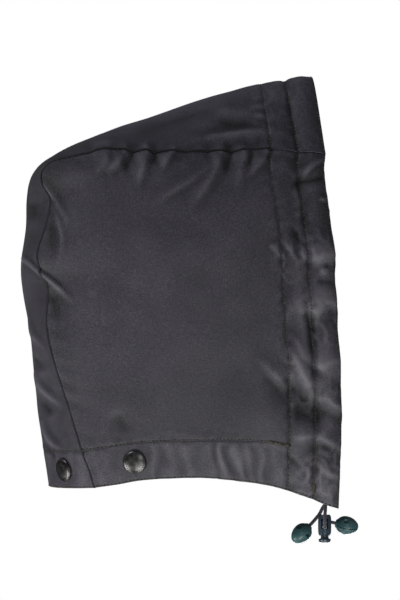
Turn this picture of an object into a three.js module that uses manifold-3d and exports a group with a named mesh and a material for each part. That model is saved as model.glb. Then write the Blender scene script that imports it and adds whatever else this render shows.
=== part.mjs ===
// A detachable waxed-cotton hood, worn: two side panels and a centre panel that runs from the brow over the crown to the
// nape, a drawcord in a channel round the face, a snap band along the neck, one cord lock and two cord ends.
// Millimetres. +X is the way the face looks, +Y the wearer's left and +Z up. The origin is where the head's top touches.
import * as THREE from "three";
import { mergeVertices } from "three/addons/utils/BufferGeometryUtils.js";
import Module from "manifold-3d";

const wasm = await Module();
wasm.setup();

// Main sizes
const HOOD_DEPTH = 256; // from the back of the head to the face edge
const HOOD_HEIGHT = 346; // from the brow to the lower front corners
const HOOD_WIDTH = 188; // across the ears
const CHEEK_SWELL = 11.5; // how far the sides stand out past a straight blend of their edges
const CHEEK_FORE = 0.9; // below 1 the swell is nearer the back
const CHEEK_DOWN = 0.6; // below 1 the swell is nearer the top
const ARCH_LEAD = 1.1; // how the centre panel's lines swing forward from the ridge to the seam: 1 is evenly

// Cloth
const CLOTH = 1.2; // outer cloth
const FACING_CLOTH = 1.0; // the bands sewn inside
const PLY_GAP = 0.3; // between two plies of cloth
const SEAM_GAP = 0.3; // between two panels that are sewn together
const FACE_BAND = 44; // face edge to the inner edge of the face facing; the channel's stitches run half way
const NECK_BAND = 32; // height of the band that carries the snaps

// Cords
const CORD_DIAMETER = 2.8;
const CHANNEL_CLEARANCE = 0.9; // round the cord in its channel
const BORE_CLEARANCE = 0.4; // round the cord in the lock and the cord ends
const JOINT_GAP = 0.3; // between two ends of cord that meet
const EXIT_DEPTH = 4; // how far inside the channel's mouth a cord tail starts

// Snaps
const CAP_DIAMETER = 19;
const CAP_HEIGHT = 3.2;
const CAP_PROFILE = [
  { round: 0.93, high: 0 },
  { round: 1, high: 0.3 },
  { round: 0.9, high: 0.8 },
  { round: 0.62, high: 1 },
  { round: 0.3, high: 0.82 },
  { round: 0, high: 0.76 },
];
const POST_DIAMETER = 5;
const POST_CLEARANCE = 0.3;
const SOCKET_DIAMETER = 12.5;
const SOCKET_DEPTH = 4.2;
const SOCKET_SHELF = 1.7; // how deep its base plate is
const SOCKET_RIM = 5.4; // radius of the flat ring that meets the collar
const POST_INSIDE = 1.3; // how far a cap's post reaches into the socket
const SOCKET_MOUTH = 7; // the hole that a collar's stud enters
const CAP_SEAT_GAP = 0.6; // between a flat cap and the curved cloth
const SOCKET_SEAT_GAP = 1; // between a flat socket and the cloth that curves towards it
const SIDE_SNAP_ALONG = 0.186; // share of the side hem, from the nape seam
const BACK_SNAP_SPACING = 88; // between the two snaps on the centre panel

// Cord lock: a barrel with a sprung button under it
const BARREL_DIAMETER = 10.6;
const BARREL_LENGTH = 16.8;
const BARREL_WALL = 1.5;
const BARREL_ROUND = 1.5; // rounding of its top edge
const BARREL_LIP = 0.9; // chamfer of its lower edge
const BARREL_ROOF = 1; // solid above the window
const BUTTON_CLEARANCE = 0.3;
const BUTTON_TRAVEL = 2;
const BUTTON_FLANGE = 10.2;
const BUTTON_FLANGE_HEIGHT = 3.4;
const BUTTON_RIM = 0.86; // of the flange's radius, at the end face
const BUTTON_RIM_RISE = 0.6; // of the flange's height, down to its widest
const BUTTON_NECK = 0.72; // of the button's radius, where it leaves the barrel
const BUTTON_NECK_RISE = 1; // how far the neck goes up into the barrel
const LOCK_HOLE_DROP = 9.8; // barrel top to the middle of the cord hole
const SLOT_HEADROOM = 1; // above the cord in the button's slot, where the cord bends down
const WINDOW_WIDTH = 5.6;
const WINDOW_RISE = 6.4; // window's top above the cord hole's middle

// Cord ends: two half shells closed round a knot
const CORD_END_LENGTH = 18.6;
const CORD_END_DIAMETER = 14.8;
const CORD_END_SPLIT = 0.3;
const CORD_END_GRIP = 7; // length of cord held inside
const CORD_END_BORE = 4;
const LATCH_WIDTH = 2.2;
const LATCH_DEPTH = 1;
const LATCH_ALONG = 0.44; // of the cord end's length, from its neck
const RIGHT_END_ROLL = 90; // degrees that the cord ends are turned about the cord
const LEFT_END_ROLL = 65;

// The centre panel, from the brow edge over the crown to the nape: the ridge on the middle plane and the near seam, forward
// and up as shares of the hood's depth and height, and the seam's distance out as a share of half the width.
const CENTRE_SECTIONS = [
  { place: "brow edge", fore: 0.508, up: 0.0913, seamFore: 0.5484, seamUp: -0.0832, seamOut: 0.5 },
  { place: "channel stitches", fore: 0.425, up: 0.0844, seamFore: 0.469, seamUp: -0.0786, seamOut: 0.532 },
  { place: "behind the brow", fore: 0.3, up: 0.0694, seamFore: 0.328, seamUp: -0.0717, seamOut: 0.596 },
  { place: "forehead", fore: 0.15, up: 0.0382, seamFore: 0.172, seamUp: -0.0809, seamOut: 0.67 },
  { place: "head seat", fore: 0, up: 0, seamFore: 0.025, seamUp: -0.0798, seamOut: 0.723 },
  { place: "top of the crown", fore: -0.144, up: -0.037, seamFore: -0.116, seamUp: -0.0763, seamOut: 0.766 },
  { place: "crown slope", fore: -0.244, up: -0.0659, seamFore: -0.216, seamUp: -0.0867, seamOut: 0.787 },
  { place: "above the corner", fore: -0.316, up: -0.0983, seamFore: -0.297, seamUp: -0.1006, seamOut: 0.793 },
  { place: "crown corner", fore: -0.355, up: -0.1237, seamFore: -0.334, seamUp: -0.126, seamOut: 0.793 },
  { place: "below the corner", fore: -0.3766, up: -0.1503, seamFore: -0.334, seamUp: -0.157, seamOut: 0.787 },
  { place: "upper back", fore: -0.386, up: -0.1942, seamFore: -0.309, seamUp: -0.1965, seamOut: 0.761 },
  { place: "back of the head", fore: -0.386, up: -0.259, seamFore: -0.328, seamUp: -0.261, seamOut: 0.771 },
  { place: "back fold", fore: -0.395, up: -0.328, seamFore: -0.347, seamUp: -0.324, seamOut: 0.782 },
  { place: "under the fold", fore: -0.389, up: -0.398, seamFore: -0.319, seamUp: -0.391, seamOut: 0.766 },
  { place: "middle back", fore: -0.3766, up: -0.472, seamFore: -0.322, seamUp: -0.472, seamOut: 0.766 },
  { place: "lower back", fore: -0.3656, up: -0.5595, seamFore: -0.3, seamUp: -0.557, seamOut: 0.761 },
  { place: "above the neck", fore: -0.348, up: -0.6566, seamFore: -0.259, seamUp: -0.6566, seamOut: 0.739 },
  { place: "neck", fore: -0.3297, up: -0.758, seamFore: -0.2156, seamUp: -0.758, seamOut: 0.718 },
  { place: "nape hem", fore: -0.314, up: -0.851, seamFore: -0.172, seamUp: -0.855, seamOut: 0.681 },
];
const CORNER_SECTION = 8; // where a side panel's top edge turns into its back edge

// The side panel's hem, from the nape seam to the lower front corner, in the same shares.
const HEM = [
  { fore: -0.172, up: -0.855, out: 0.681 },
  { fore: -0.1, up: -0.8474, out: 0.723 },
  { fore: -0.025, up: -0.8382, out: 0.755 },
  { fore: 0.078, up: -0.8335, out: 0.787 },
  { fore: 0.175, up: -0.8324, out: 0.798 },
  { fore: 0.275, up: -0.8393, out: 0.793 },
  { fore: 0.375, up: -0.8509, out: 0.766 },
  { fore: 0.469, up: -0.8705, out: 0.723 },
  { fore: 0.5375, up: -0.8902, out: 0.681 },
  { fore: 0.589, up: -0.9029, out: 0.638 },
];

// The face edge of the side panel, from the top seam down to the lower front corner.
const FACE_EDGE = [
  { fore: 0.5484, up: -0.0832, out: 0.5 },
  { fore: 0.545, up: -0.1249, out: 0.56 },
  { fore: 0.558, up: -0.2012, out: 0.65 },
  { fore: 0.573, up: -0.289, out: 0.735 },
  { fore: 0.578, up: -0.363, out: 0.79 },
  { fore: 0.584, up: -0.444, out: 0.825 },
  { fore: 0.592, up: -0.541, out: 0.84 },
  { fore: 0.598, up: -0.652, out: 0.83 },
  { fore: 0.6, up: -0.7098, out: 0.814 },
  { fore: 0.595, up: -0.7908, out: 0.755 },
  { fore: 0.592, up: -0.8486, out: 0.702 },
  { fore: 0.589, up: -0.9029, out: 0.638 },
];

// Folds seen from the side, as ridges (rise above 0) and valleys that run from one point to another: the points as shares of
// depth and height, the rise and the half width of the fold as shares of the depth.
const FOLDS = [
  { place: "gather under the seam", fore: 0.23, up: -0.088, toFore: 0.12, toUp: -0.19, rise: 0.012, spread: 0.024 },
  { place: "gather under the seam", fore: 0.305, up: -0.086, toFore: 0.25, toUp: -0.165, rise: 0.009, spread: 0.018 },
  { place: "gather under the seam", fore: 0.265, up: -0.086, toFore: 0.215, toUp: -0.16, rise: -0.009, spread: 0.018 },
  { place: "gather under the seam", fore: 0.075, up: -0.09, toFore: 0.015, toUp: -0.145, rise: 0.009, spread: 0.022 },
  { place: "gather under the seam", fore: -0.02, up: -0.086, toFore: -0.035, toUp: -0.15, rise: 0.009, spread: 0.02 },
  { place: "gather under the seam", fore: -0.11, up: -0.088, toFore: -0.15, toUp: -0.135, rise: 0.008, spread: 0.02 },
  { place: "crown corner fold", fore: -0.33, up: -0.15, toFore: -0.25, toUp: -0.27, rise: 0.012, spread: 0.02 },
  { place: "hollow beside the seam", fore: -0.3, up: -0.22, toFore: -0.3, toUp: -0.31, rise: -0.012, spread: 0.024 },
  { place: "back fold", fore: -0.39, up: -0.32, toFore: -0.225, toUp: -0.44, rise: 0.012, spread: 0.024 },
  { place: "hollow under the back fold", fore: -0.31, up: -0.41, toFore: -0.26, toUp: -0.49, rise: -0.014, spread: 0.036 },
  { place: "lower back fold", fore: -0.37, up: -0.5, toFore: -0.29, toUp: -0.62, rise: 0.012, spread: 0.022 },
  { place: "nape fold", fore: -0.345, up: -0.66, toFore: -0.26, toUp: -0.76, rise: 0.01, spread: 0.022 },
  { place: "face band crumple", fore: 0.475, up: -0.17, toFore: 0.55, toUp: -0.125, rise: 0.012, spread: 0.02 },
  { place: "face band crumple", fore: 0.41, up: -0.315, toFore: 0.46, toUp: -0.37, rise: 0.012, spread: 0.03 },
  { place: "face band hollow", fore: 0.465, up: -0.29, toFore: 0.5, toUp: -0.37, rise: -0.012, spread: 0.022 },
  { place: "face band bump", fore: 0.52, up: -0.335, toFore: 0.575, toUp: -0.345, rise: 0.014, spread: 0.03 },
  { place: "face band ridge", fore: 0.405, up: -0.48, toFore: 0.5, toUp: -0.63, rise: 0.014, spread: 0.03 },
  { place: "face band bump", fore: 0.54, up: -0.575, toFore: 0.585, toUp: -0.65, rise: 0.014, spread: 0.034 },
  { place: "face band hollow", fore: 0.43, up: -0.64, toFore: 0.57, toUp: -0.72, rise: -0.016, spread: 0.04 },
  { place: "face band ridge", fore: 0.44, up: -0.745, toFore: 0.52, toUp: -0.77, rise: 0.012, spread: 0.03 },
  { place: "hem flute", fore: 0.075, up: -0.76, toFore: 0.075, toUp: -0.83, rise: 0.008, spread: 0.024 },
  { place: "hem flute", fore: 0.15, up: -0.76, toFore: 0.155, toUp: -0.83, rise: 0.008, spread: 0.024 },
  { place: "hem flute", fore: 0.26, up: -0.74, toFore: 0.255, toUp: -0.84, rise: 0.009, spread: 0.026 },
  { place: "hem flute", fore: 0.33, up: -0.74, toFore: 0.32, toUp: -0.845, rise: 0.009, spread: 0.026 },
];
const FOLD_END = 1.5; // how far a fold runs out past its ends, in half widths
const PLAIN_MIDDLE = 0.2; // no fold crosses the middle plane: they fade within this share of the hood's width
const FAR_SIDE_FOLDS = { fore: 0.02, up: -0.025, rise: 0.85 }; // the left side creases a little lower and more softly

// How finely the cloth is divided
const BODY_COLUMNS = 20; // of a side panel, from its back edge to the face band
const BODY_ROWS = 15; // of a side panel, from its top edge to the neck band
const CENTRE_STEPS = 6; // across the centre panel
const FACE_BAND_LINES = [0, 0.14, 0.25, 0.36, 0.5, 0.75, 1]; // shares of the face band, from the face edge
const NECK_BAND_LINES = [0, 0.5, 1]; // shares of the neck band, from the hem

// Routes of the two cord tails below the channel, from where each starts inside it: forward, out to its own side, and up.
// The right one comes down the front of the cord lock, goes through it and turns forward; the left one curls back.
const RIGHT_TAIL = [
  [-0.2, 0.3, -8],
  [-0.5, 2.3, -12],
  [-0.8, 3.6, -16.8],
  [-0.8, 2.85, -19.6],
  [-0.8, 0.7, -21.65],
  [-0.8, -2.1, -22.4],
  [-0.8, -5.9, -22.4],
  [-0.8, -9.7, -22.3],
  [0.1, -13.2, -21],
  [1.9, -15.2, -19.5],
  [4.3, -15.8, -18.8],
  [7.8, -15.8, -19.5],
  [11.2, -15.8, -20.2],
  [14.6, -15.8, -20.9],
];
const LEFT_TAIL = [
  [-2.4, -1.5, -7.2],
  [-4.7, -2.4, -11.8],
  [-7.9, -4.4, -15.9],
  [-11, -6.05, -19.4],
  [-13, -6.8, -21.4],
  [-15.4, -7.7, -23.8],
  [-17.8, -8.6, -26.2],
];
const LOCK_HOLE = [-0.8, -3.7, -22.4]; // the middle of the lock's cord hole, from the same start
const RIGHT_TAIL_STEPS = 24;
const LEFT_TAIL_STEPS = 12;
const CORD_SIDES = 8;
const ROUND_SIDES = 14; // of the snaps, the lock and the cord ends

// Materials
const WAXED_COTTON = new THREE.MeshStandardMaterial({ color: 0x434247, roughness: 0.62, metalness: 0 });
const FACING_COTTON = new THREE.MeshStandardMaterial({ color: 0x3c3b40, roughness: 0.7, metalness: 0 });
const SNAP_METAL = new THREE.MeshStandardMaterial({ color: 0x4a4844, roughness: 0.35, metalness: 0.9 });
const CORD_BRAID = new THREE.MeshStandardMaterial({ color: 0x37353c, roughness: 0.85, metalness: 0 });
const LOCK_PLASTIC = new THREE.MeshStandardMaterial({ color: 0x2a3640, roughness: 0.4, metalness: 0 });
const END_PLASTIC = new THREE.MeshStandardMaterial({ color: 0x1f3b3d, roughness: 0.3, metalness: 0 });

const hood = new THREE.Group();
hood.name = "hood";

const vec = (x, y, z) => new THREE.Vector3(x, y, z);
const clamp = THREE.MathUtils.clamp;

// One column of a table at a position that may lie between two rows, on a smooth curve through every row.
function smooth(rows, column, at) {
  const i = clamp(Math.floor(at), 0, rows.length - 2);
  const t = at - i;
  const b = rows[i][column];
  const c = rows[i + 1][column];
  const a = i > 0 ? rows[i - 1][column] : 2 * b - c;
  const d = i < rows.length - 2 ? rows[i + 2][column] : 2 * c - b;
  return b + 0.5 * t * (c - a + t * (2 * a - 5 * b + 4 * c - d + t * (3 * (b - c) + d - a)));
}

// The positions along a curve, from one end to the other, that cut it into equal lengths.
function evenly(pointAt, from, to) {
  const samples = 400;
  const lengths = [0];
  let last = pointAt(from);
  for (let i = 1; i <= samples; i++) {
    const next = pointAt(from + ((to - from) * i) / samples);
    lengths.push(lengths[i - 1] + next.distanceTo(last));
    last = next;
  }
  return (share) => {
    const wanted = clamp(share, 0, 1) * lengths[samples];
    let i = 1;
    while (i < samples && lengths[i] < wanted) i++;
    const within = (wanted - lengths[i - 1]) / Math.max(lengths[i] - lengths[i - 1], 1e-9);
    return from + ((to - from) * (i - 1 + within)) / samples;
  };
}

// Points of the tables' curves on the right-hand side, where out points to -Y
const ridgeAt = (s) =>
  vec(HOOD_DEPTH * smooth(CENTRE_SECTIONS, "fore", s), 0, HOOD_HEIGHT * smooth(CENTRE_SECTIONS, "up", s));
const seamAt = (s) =>
  vec(
    HOOD_DEPTH * smooth(CENTRE_SECTIONS, "seamFore", s),
    (-HOOD_WIDTH / 2) * smooth(CENTRE_SECTIONS, "seamOut", s),
    HOOD_HEIGHT * smooth(CENTRE_SECTIONS, "seamUp", s),
  );
const edgeAt = (rows) => (at) =>
  vec(
    HOOD_DEPTH * smooth(rows, "fore", at),
    (-HOOD_WIDTH / 2) * smooth(rows, "out", at),
    HOOD_HEIGHT * smooth(rows, "up", at),
  );

const NAPE = CENTRE_SECTIONS.length - 1;
const topStation = evenly(seamAt, CORNER_SECTION, 0);
const backStation = evenly(seamAt, CORNER_SECTION, NAPE);
const hemStation = evenly(edgeAt(HEM), 0, HEM.length - 1);
const faceStation = evenly(edgeAt(FACE_EDGE), 0, FACE_EDGE.length - 1);

// The centre panel's inner face: an arch between the two seams. across runs from -1 at the left seam to 1 at the right.
function centreBase(s, across) {
  const ridge = ridgeAt(s);
  const seam = seamAt(s);
  const step = 0.05;
  const tangent = ridgeAt(Math.min(s + step, NAPE)).sub(ridgeAt(Math.max(s - step, 0))).normalize();
  const reach = vec(seam.x - ridge.x, 0, seam.z - ridge.z);
  const along = tangent.clone().multiplyScalar(reach.dot(tangent));
  const down = reach.clone().sub(along);
  const share = Math.abs(across);
  return ridge
    .add(along.multiplyScalar(share ** ARCH_LEAD))
    .add(down.multiplyScalar(share * share))
    .add(vec(0, seam.y * across, 0));
}

// The right side panel's inner face: u runs from 0 at the back seam to 1 at the face edge, v from 0 at the top to 1 at the hem.
function sideBase(u, v) {
  const top = seamAt(topStation(u));
  const back = seamAt(backStation(v));
  const hem = edgeAt(HEM)(hemStation(u));
  const face = edgeAt(FACE_EDGE)(faceStation(v));
  const corners = [
    [seamAt(CORNER_SECTION), (1 - u) * (1 - v)],
    [seamAt(0), u * (1 - v)],
    [seamAt(NAPE), (1 - u) * v],
    [edgeAt(FACE_EDGE)(FACE_EDGE.length - 1), u * v],
  ];
  const point = vec(0, 0, 0)
    .addScaledVector(top, 1 - v)
    .addScaledVector(hem, v)
    .addScaledVector(back, 1 - u)
    .addScaledVector(face, u);
  for (const [corner, share] of corners) point.addScaledVector(corner, -share);
  point.y -= CHEEK_SWELL * Math.sin(Math.PI * u ** CHEEK_FORE) * Math.sin(Math.PI * v ** CHEEK_DOWN);
  return point;
}

const heart = vec(0.1 * HOOD_DEPTH, 0, -0.4 * HOOD_HEIGHT); // a point well inside the hood

// The outward normal of a surface given by two coordinates that run from low to high.
function outward(surface, a, b, low, high) {
  const step = 1e-3;
  const ends = (value, i) => [Math.max(value - step, low[i]), Math.min(value + step, high[i])];
  const [a0, a1] = ends(a, 0);
  const [b0, b1] = ends(b, 1);
  const normal = surface(a1, b).sub(surface(a0, b)).cross(surface(a, b1).sub(surface(a, b0))).normalize();
  return normal.dot(surface(a, b).sub(heart)) < 0 ? normal.negate() : normal;
}
const centreNormal = (s, across) => outward(centreBase, s, across, [0, -1], [NAPE, 1]);
const sideNormal = (u, v) => outward(sideBase, u, v, [0, 0], [1, 1]);

// A seam point's normal is shared by both panels, so that their edges lie flat against each other.
function seamNormal(s) {
  const u = s <= CORNER_SECTION ? shareOf(topStation, s, true) : 0;
  const v = s > CORNER_SECTION ? shareOf(backStation, s, false) : 0;
  return centreNormal(s, 1).add(sideNormal(u, v)).normalize();
}
function shareOf(station, s, falling) {
  let low = 0;
  let high = 1;
  for (let i = 0; i < 40; i++) {
    const middle = (low + high) / 2;
    if (station(middle) > s === falling) low = middle;
    else high = middle;
  }
  return (low + high) / 2;
}

// Snaps press the cloth flat round them: where they are, filled in below.
const snapPoints = [];

// How far the cloth stands out of its plain form at a point, from the folds and away from the snaps.
function foldRise(point) {
  const far = point.y > 0;
  const moved = far ? FAR_SIDE_FOLDS : { fore: 0, up: 0, rise: 1 };
  const x = point.x / HOOD_DEPTH - moved.fore;
  const z = point.z / HOOD_HEIGHT - moved.up;
  const tall = HOOD_HEIGHT / HOOD_DEPTH;
  let rise = 0;
  for (const fold of FOLDS) {
    const run = [fold.toFore - fold.fore, (fold.toUp - fold.up) * tall];
    const from = [x - fold.fore, (z - fold.up) * tall];
    const length = Math.hypot(...run);
    const along = (from[0] * run[0] + from[1] * run[1]) / length;
    const off = (from[0] * run[1] - from[1] * run[0]) / length;
    const past = Math.max(0, -along, along - length);
    rise += fold.rise * Math.exp(-((off / fold.spread) ** 2) - (past / (FOLD_END * fold.spread)) ** 2);
  }
  const flat = snapPoints.reduce(
    (least, snap) => Math.min(least, 1 - Math.exp(-((point.distanceTo(snap) / CAP_DIAMETER) ** 4))),
    1,
  );
  const fromMiddle = Math.min(1, Math.abs(point.y) / (PLAIN_MIDDLE * HOOD_WIDTH));
  return HOOD_DEPTH * rise * moved.rise * flat * fromMiddle;
}

const mirrored = (v) => vec(v.x, -v.y, v.z);

// A place on the cloth: its point, folds included, and its outward normal. side is 1 for right and -1 for left.
function place(base, normal, side) {
  const point = side < 0 ? mirrored(base) : base.clone();
  const out = side < 0 ? mirrored(normal) : normal.clone();
  return { point: point.addScaledVector(out, foldRise(point)), out };
}
const sidePlace = (side, u, v) =>
  v === 0
    ? seamPlace(side, topStation(u))
    : u === 0
      ? seamPlace(side, backStation(v))
      : place(sideBase(u, v), sideNormal(u, v), side);
const seamPlace = (side, s) => place(seamAt(s), seamNormal(s), side);
const centrePlace = (s, across) =>
  Math.abs(across) === 1 ? seamPlace(across, s) : place(centreBase(s, across), centreNormal(s, across), 1);

// A closed wall over a grid of places, between two distances from the surface. Each distance may be a function of the grid.
function wall(grid, low, high) {
  const rows = grid.length;
  const columns = grid[0].length;
  const distance = (value, i, j) => (typeof value === "function" ? value(i, j) : value);
  const positions = [];
  for (const level of [low, high]) {
    grid.forEach((line, i) =>
      line.forEach(({ point, out }, j) => {
        positions.push(...point.clone().addScaledVector(out, distance(level, i, j)).toArray());
      }),
    );
  }
  const at = (i, j, level) => level * rows * columns + i * columns + j;
  const faces = [];
  const quad = (a, b, c, d) => faces.push(a, b, c, a, c, d);
  const span = (i, j, k, l) => grid[i][j].point.distanceTo(grid[k][l].point);
  for (let i = 0; i + 1 < rows; i++) {
    for (let j = 0; j + 1 < columns; j++) {
      // Each cell folds along its shorter diagonal, the same in every layer of cloth.
      const ring = [
        [i, j],
        [i, j + 1],
        [i + 1, j + 1],
        [i + 1, j],
      ];
      if (span(i, j + 1, i + 1, j) < span(i, j, i + 1, j + 1)) ring.push(ring.shift());
      quad(...ring.map(([k, l]) => at(k, l, 1)));
      const [a, b, c, d] = ring.map(([k, l]) => at(k, l, 0));
      quad(a, d, c, b);
    }
    quad(at(i, 0, 0), at(i, 0, 1), at(i + 1, 0, 1), at(i + 1, 0, 0));
    quad(at(i, columns - 1, 0), at(i + 1, columns - 1, 0), at(i + 1, columns - 1, 1), at(i, columns - 1, 1));
  }
  for (let j = 0; j + 1 < columns; j++) {
    quad(at(0, j, 0), at(0, j + 1, 0), at(0, j + 1, 1), at(0, j, 1));
    quad(at(rows - 1, j, 0), at(rows - 1, j, 1), at(rows - 1, j + 1, 1), at(rows - 1, j + 1, 0));
  }
  const geometry = new THREE.BufferGeometry();
  geometry.setAttribute("position", new THREE.Float32BufferAttribute(positions, 3));
  geometry.setIndex(faces);
  return facingOut(geometry);
}

// The same closed geometry with its faces turned to point out.
function facingOut(geometry) {
  const p = geometry.getAttribute("position");
  const index = geometry.index.array;
  const corner = (k) => vec(p.getX(index[k]), p.getY(index[k]), p.getZ(index[k]));
  let volume = 0;
  for (let k = 0; k < index.length; k += 3) volume += corner(k).dot(corner(k + 1).cross(corner(k + 2)));
  if (volume < 0) for (let k = 0; k < index.length; k += 3) [index[k], index[k + 1]] = [index[k + 1], index[k]];
  return geometry;
}

// A line of places moved towards the next one, so that two pieces that meet keep their gap.
function inset(line, next, distance) {
  return line.map((place, k) => {
    const inward = next[k].point.clone().sub(place.point).normalize();
    return { point: place.point.clone().addScaledVector(inward, distance), out: place.out };
  });
}

// Booleans
function solidOf(geometry) {
  const plain = geometry.clone();
  for (const name of ["normal", "uv"]) plain.deleteAttribute(name);
  const merged = mergeVertices(plain, 1e-4);
  return new wasm.Manifold(
    new wasm.Mesh({
      numProp: 3,
      vertProperties: Float32Array.from(merged.getAttribute("position").array),
      triVerts: Uint32Array.from(merged.index.array),
    }),
  );
}
function geometryOf(solid) {
  const mesh = solid.getMesh();
  const geometry = new THREE.BufferGeometry();
  geometry.setAttribute("position", new THREE.Float32BufferAttribute(mesh.vertProperties, 3));
  geometry.setIndex(Array.from(mesh.triVerts));
  return geometry;
}
const cut = (geometry, ...tools) =>
  geometryOf(tools.reduce((rest, tool) => rest.subtract(solidOf(tool)), solidOf(geometry)));

function add(name, geometry, material, parent = hood) {
  const mesh = new THREE.Mesh(geometry, material);
  mesh.name = name;
  parent.add(mesh);
  return mesh;
}

// The lengths of a side panel's row and of its column, along the plain form.
function lengthOf(pointAt) {
  const steps = 100;
  let length = 0;
  for (let i = 0; i < steps; i++) length += pointAt(i / steps).distanceTo(pointAt((i + 1) / steps));
  return length;
}
const rowLength = (v) => lengthOf((u) => sideBase(u, v));
const columnLength = (u) => lengthOf((v) => sideBase(u, v));

// Lines across a length: even steps first, then the lines of the band at its far end.
function divide(steps, band, bandLines, length) {
  const body = Array.from({ length: steps }, (_, i) => (i / steps) * (1 - band / length));
  const last = bandLines.map((share) => 1 - (share * band) / length).reverse();
  return [...body, ...last];
}
const divideRow = (v) => divide(BODY_COLUMNS, FACE_BAND, FACE_BAND_LINES, rowLength(v));
const divideColumn = (u) => divide(BODY_ROWS, NECK_BAND, NECK_BAND_LINES, columnLength(u));

// The grids of places that every layer of cloth shares, so that the layers lie parallel.
const middleRows = divideColumn(0.5);
const columnsOfRow = middleRows.map(divideRow);
const sideShares = columnsOfRow[0].map((_, i) =>
  middleRows.map((v, j) => {
    const u = columnsOfRow[j][i];
    return { u, v: divideColumn(u)[j] };
  }),
);
const stations = [
  ...sideShares.map((column) => topStation(column[0].u)).reverse(),
  ...sideShares[0].slice(1).map(({ v }) => backStation(v)),
];
const acrossAll = Array.from({ length: CENTRE_STEPS + 1 }, (_, k) => 1 - (2 * k) / CENTRE_STEPS);

// Snaps: where they stand on the neck band, where no fold reaches
const SNAP_HEIGHT = NECK_BAND / 2;
function snapOnSide(side) {
  const v = 1 - SNAP_HEIGHT / columnLength(SIDE_SNAP_ALONG);
  const point = sideBase(SIDE_SNAP_ALONG, v);
  const out = sideNormal(SIDE_SNAP_ALONG, v);
  return side < 0 ? { point: mirrored(point), out: mirrored(out) } : { point, out };
}
function snapOnBack(side) {
  const s = backStation(1 - SNAP_HEIGHT / columnLength(0));
  const across = (side * BACK_SNAP_SPACING) / 2 / -seamAt(s).y;
  return { point: centreBase(s, across), out: centreNormal(s, across) };
}
const snaps = [
  { name: "side_right", ...snapOnSide(1) },
  { name: "back_right", ...snapOnBack(1) },
  { name: "back_left", ...snapOnBack(-1) },
  { name: "side_left", ...snapOnSide(-1) },
];
for (const snap of snaps) snapPoints.push(snap.point.clone());

const sideGrid = (side) => sideShares.map((column) => column.map(({ u, v }) => sidePlace(side, u, v)));
const grids = { right: sideGrid(1), left: sideGrid(-1) };
const centreGrid = acrossAll.map((across) => stations.map((s) => centrePlace(s, across)));

// A copy of a piece made round the Y axis, standing at a snap with +Y outwards.
function standAt(geometry, snap) {
  const turn = new THREE.Quaternion().setFromUnitVectors(vec(0, 1, 0), snap.out);
  return geometry.clone().applyQuaternion(turn).translate(...snap.point.toArray());
}
const lathe = (points) =>
  new THREE.LatheGeometry(
    points.map(([r, h]) => new THREE.Vector2(r, h)),
    ROUND_SIDES,
  );
const postBore = POST_DIAMETER / 2 + POST_CLEARANCE;
const postHole = lathe([
  [0, -SOCKET_DEPTH],
  [postBore, -SOCKET_DEPTH],
  [postBore, CAP_HEIGHT],
  [0, CAP_HEIGHT],
]);
const holesFor = (names) => snaps.filter((snap) => names.includes(snap.name)).map((snap) => standAt(postHole, snap));

// Cloth panels
function sidePanel(word) {
  const grid = grids[word].slice();
  grid[0] = inset(grid[0], grid[1], SEAM_GAP / 2);
  const topLine = inset(
    grid.map((column) => column[0]),
    grid.map((column) => column[1]),
    SEAM_GAP / 2,
  );
  const trimmed = grid.map((column, i) => [topLine[i], ...column.slice(1)]);
  add(`side_panel_${word}`, cut(wall(trimmed, 0, CLOTH), ...holesFor([`side_${word}`])), WAXED_COTTON);
}
function centrePanel() {
  const grid = centreGrid.slice();
  const last = grid.length - 1;
  grid[0] = inset(grid[0], grid[1], SEAM_GAP / 2);
  grid[last] = inset(grid[last], grid[last - 1], SEAM_GAP / 2);
  add("centre_panel", cut(wall(grid, 0, CLOTH), ...holesFor(["back_right", "back_left"])), WAXED_COTTON);
}

// Lines of places that run back from the face edge, from the right corner over the brow to the left corner.
const faceLines = [
  ...middleRows.map((_, j) => grids.right.map((column) => column[j]).reverse()).reverse(),
  ...centreGrid.slice(1, -1),
  ...middleRows.map((_, j) => grids.left.map((column) => column[j]).reverse()),
].map((line) => line.slice(0, FACE_BAND_LINES.length));

// The face facing is sewn flat at the face edge and from the channel stitches back, and swells round the cord between.
const TUNNEL = CORD_DIAMETER + 2 * CHANNEL_CLEARANCE;
const CHANNEL_ROOM = [PLY_GAP, 0.72 * TUNNEL, TUNNEL, 0.72 * TUNNEL, PLY_GAP, PLY_GAP, PLY_GAP];
function faceFacing() {
  const face = wall(
    faceLines,
    (i, j) => -CHANNEL_ROOM[j] - FACING_CLOTH,
    (i, j) => -CHANNEL_ROOM[j],
  );
  add("face_facing", face, FACING_COTTON);
}
function neckFacing() {
  const low = (line) => line.slice(-NECK_BAND_LINES.length);
  const side = (word) => {
    const lines = grids[word].slice(0, 1 - FACE_BAND_LINES.length).map(low);
    const last = lines.length - 1;
    lines[last] = inset(lines[last], lines[last - 1], PLY_GAP);
    return lines;
  };
  const grid = [...side("right").reverse(), ...centreGrid.slice(1, -1).map(low), ...side("left")];
  const band = wall(grid, -PLY_GAP - FACING_CLOTH, -PLY_GAP);
  add("neck_facing", cut(band, ...holesFor(snaps.map((snap) => snap.name))), FACING_COTTON);
}

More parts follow.
